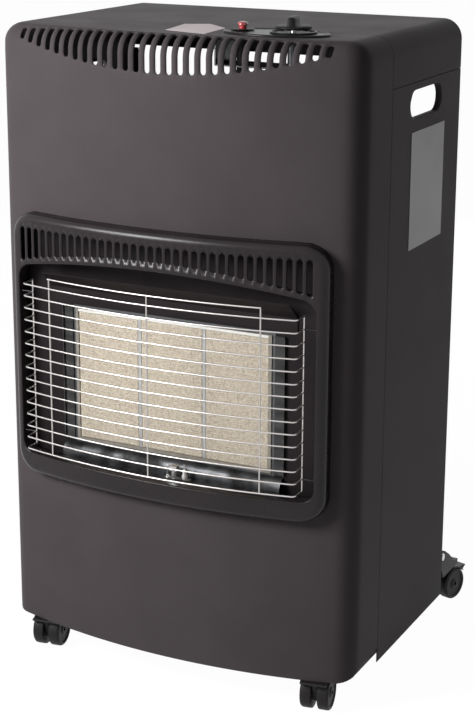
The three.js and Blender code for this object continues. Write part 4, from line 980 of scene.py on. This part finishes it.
# A housing and two wheels, turned about the stem and moved to their place.
def addCaster(place):
    x, y, turn = casterPlaces[place]
    c, s = math.cos(math.radians(turn)), math.sin(math.radians(turn))
    turned = np.array([[c, s, 0], [-s, c, 0], [0, 0, 1]])
    name = "caster_" + place
    points, faces = casterHousing()
    addPiece(name + "_hood", points @ turned + [x, y, 0], faces, "wheelPlastic", name + "_fork",
             [name + "_housing"], "black_plastic", 40)
    for letter, side in (("a", 1), ("b", -1)):
        points, faces = casterWheel(side)
        addPiece(f"{name}_tread_{letter}", points @ turned + [x, y, 0], faces, "wheelPlastic",
                 name + "_wheels", [f"{name}_wheel_{letter}"], "black_plastic", 40)


for place in casterPlaces:
    addCaster(place)
print("casters")

# solids that show as they are, by finish
stays = {
    "blackSheet": ["base_tray", "bottle_shelf", "burner_surround", "hood_deflector"],
    "brightSteel": ["shelf_screw_right", "shelf_screw_left", "pilot_burner", "valve_spindle"]
                   + [f"caster_{place}_axle" for place in casterPlaces],
    "galvanised": ["heat_shield", "control_bracket", "burner_box", "mixing_tube_left", "mixing_tube_centre",
                   "mixing_tube_right", "gas_pipe", "pilot_pipe", "gas_valve"],
    "hotSteel": ["reflector_right", "reflector_left"],
    "stripSteel": ["separator_left", "separator_right"],
    # the plaques' gasket takes the fibre seal in painted shade
    "sealPaintedShade": ["plaque_gasket"],
    "gasBrass": ["injector_manifold", "hose_inlet"],
    "blackPlastic": ["piezo_igniter"],
}
for finish, names in stays.items():
    for name in names:
        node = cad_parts[name]
        node.data.materials.clear()
        node.data.materials.append(materials[finish])
print("finishes of the solids that stay")

studio = dict(floorColour=(0.86, 0.86, 0.86, 1), floorRoughness=0.9, floorGlow=1.05, floorShare=0.93,
              floorRadius=40.0, floorZ=-0.0004, worldLight=0.08)
lamps = {"key": dict(place=(-0.75, -1.2, 1.03), target=(-0.05, -0.2, 0.55), size=0.6, power=16),
         "sheen": dict(place=(-0.45, -0.9, 0.84), target=(-0.05, -0.22, 0.62), size=0.4, power=5),
         "fill": dict(place=(2.6, -1.2, 1.4), target=(0, 0, 0.4), size=1.8, power=1.6),
         "rear": dict(place=(-0.7, 2.3, 0.45), target=(0, 0.2, 0.4), size=0.5, power=6)}
view = dict(place=(865.39, -1535.5, 918.44), turn=(74.7668, -0.2491, 26.7765), focal=1721.42, middleY=312.0,
            middleX=237.0, width=475, height=724, film=24.0)  # focal, middle and size in pixels


# 1 for camera, glossy and transmitted rays and 0 for the rest: the greatest of the three.
def seenRays(nodes, links):
    path = nodes.new("ShaderNodeLightPath")
    seen = path.outputs["Is Camera Ray"]
    for name in ("Is Glossy Ray", "Is Transmission Ray"):
        most = nodes.new("ShaderNodeMath")
        most.operation = "MAXIMUM"
        links.new(seen, most.inputs[0])
        links.new(path.outputs[name], most.inputs[1])
        seen = most.outputs[0]
    return seen


# A wide round floor: pale to the light, and mostly white where it is seen, so that it keeps a soft shadow.
def makeFloor():
    material = bpy.data.materials.new("paleFloor")
    material.use_nodes = True
    nodes, links = material.node_tree.nodes, material.node_tree.links
    shader = nodes["Principled BSDF"]
    shader.inputs["Base Color"].default_value = studio["floorColour"]
    shader.inputs["Roughness"].default_value = studio["floorRoughness"]
    shader.inputs["Specular IOR Level"].default_value = 0.0
    glow = nodes.new("ShaderNodeEmission")
    glow.inputs["Strength"].default_value = studio["floorGlow"]
    scale = nodes.new("ShaderNodeMath")
    scale.operation = "MULTIPLY"
    scale.inputs[1].default_value = studio["floorShare"]
    links.new(seenRays(nodes, links), scale.inputs[0])
    mix = nodes.new("ShaderNodeMixShader")
    links.new(scale.outputs[0], mix.inputs["Fac"])
    links.new(shader.outputs["BSDF"], mix.inputs[1])
    links.new(glow.outputs["Emission"], mix.inputs[2])
    links.new(mix.outputs["Shader"], nodes["Material Output"].inputs["Surface"])
    mesh = bpy.data.meshes.new("floor")
    angle = np.linspace(0, 2 * np.pi, 64, endpoint=False)
    circle = studio["floorRadius"] * np.stack([np.cos(angle), np.sin(angle)], 1)
    mesh.from_pydata(flatRing(circle, 2, studio["floorZ"]).tolist(), [], [list(range(64))])
    mesh.materials.append(material)
    floor = bpy.data.objects.new("floor", mesh)
    bpy.context.scene.collection.objects.link(floor)


# White to the rays that see it, and a soft even light for the rest: strength runs from worldLight to 1.
def makeWorld():
    world = bpy.data.worlds.new("studio")
    world.use_nodes = True
    nodes, links = world.node_tree.nodes, world.node_tree.links
    background = nodes["Background"]
    background.inputs["Color"].default_value = (1, 1, 1, 1)
    level = nodes.new("ShaderNodeMapRange")
    level.inputs["To Min"].default_value = studio["worldLight"]
    level.inputs["To Max"].default_value = 1.0
    links.new(seenRays(nodes, links), level.inputs["Value"])
    links.new(level.outputs["Result"], background.inputs["Strength"])
    bpy.context.scene.world = world


# A round lamp that faces its target.
def addLamp(name, place, target, size, power):
    lamp = bpy.data.lights.new(name, "AREA")
    lamp.shape = "DISK"
    lamp.size = size
    lamp.energy = power
    holder = bpy.data.objects.new(name, lamp)
    holder.location = place
    holder.rotation_euler = (Vector(target) - Vector(place)).to_track_quat("-Z", "Y").to_euler()
    bpy.context.scene.collection.objects.link(holder)


# Lens and shift from the picture's own measures: lens is focal times film over height, and each shift is
# the middle's distance from the picture's centre over height.
def makeCamera():
    camera = bpy.data.cameras.new("camera")
    camera.sensor_fit = "VERTICAL"
    camera.sensor_height = view["film"]
    camera.lens = view["focal"] * view["film"] / view["height"]
    camera.shift_y = (view["middleY"] - view["height"] / 2) / view["height"]
    camera.shift_x = (view["width"] / 2 - view["middleX"]) / view["height"]
    camera.clip_start = 0.05
    camera.clip_end = 100
    holder = bpy.data.objects.new("camera", camera)
    holder.location = intoFrame(view["place"])[0]
    holder.rotation_euler = [math.radians(value) for value in view["turn"]]
    bpy.context.scene.collection.objects.link(holder)
    bpy.context.scene.camera = holder


makeFloor()
makeWorld()
for name, lamp in lamps.items():
    addLamp(name, **lamp)
makeCamera()
bpy.context.scene.view_settings.view_transform = "Standard"
print("stage, light and camera")
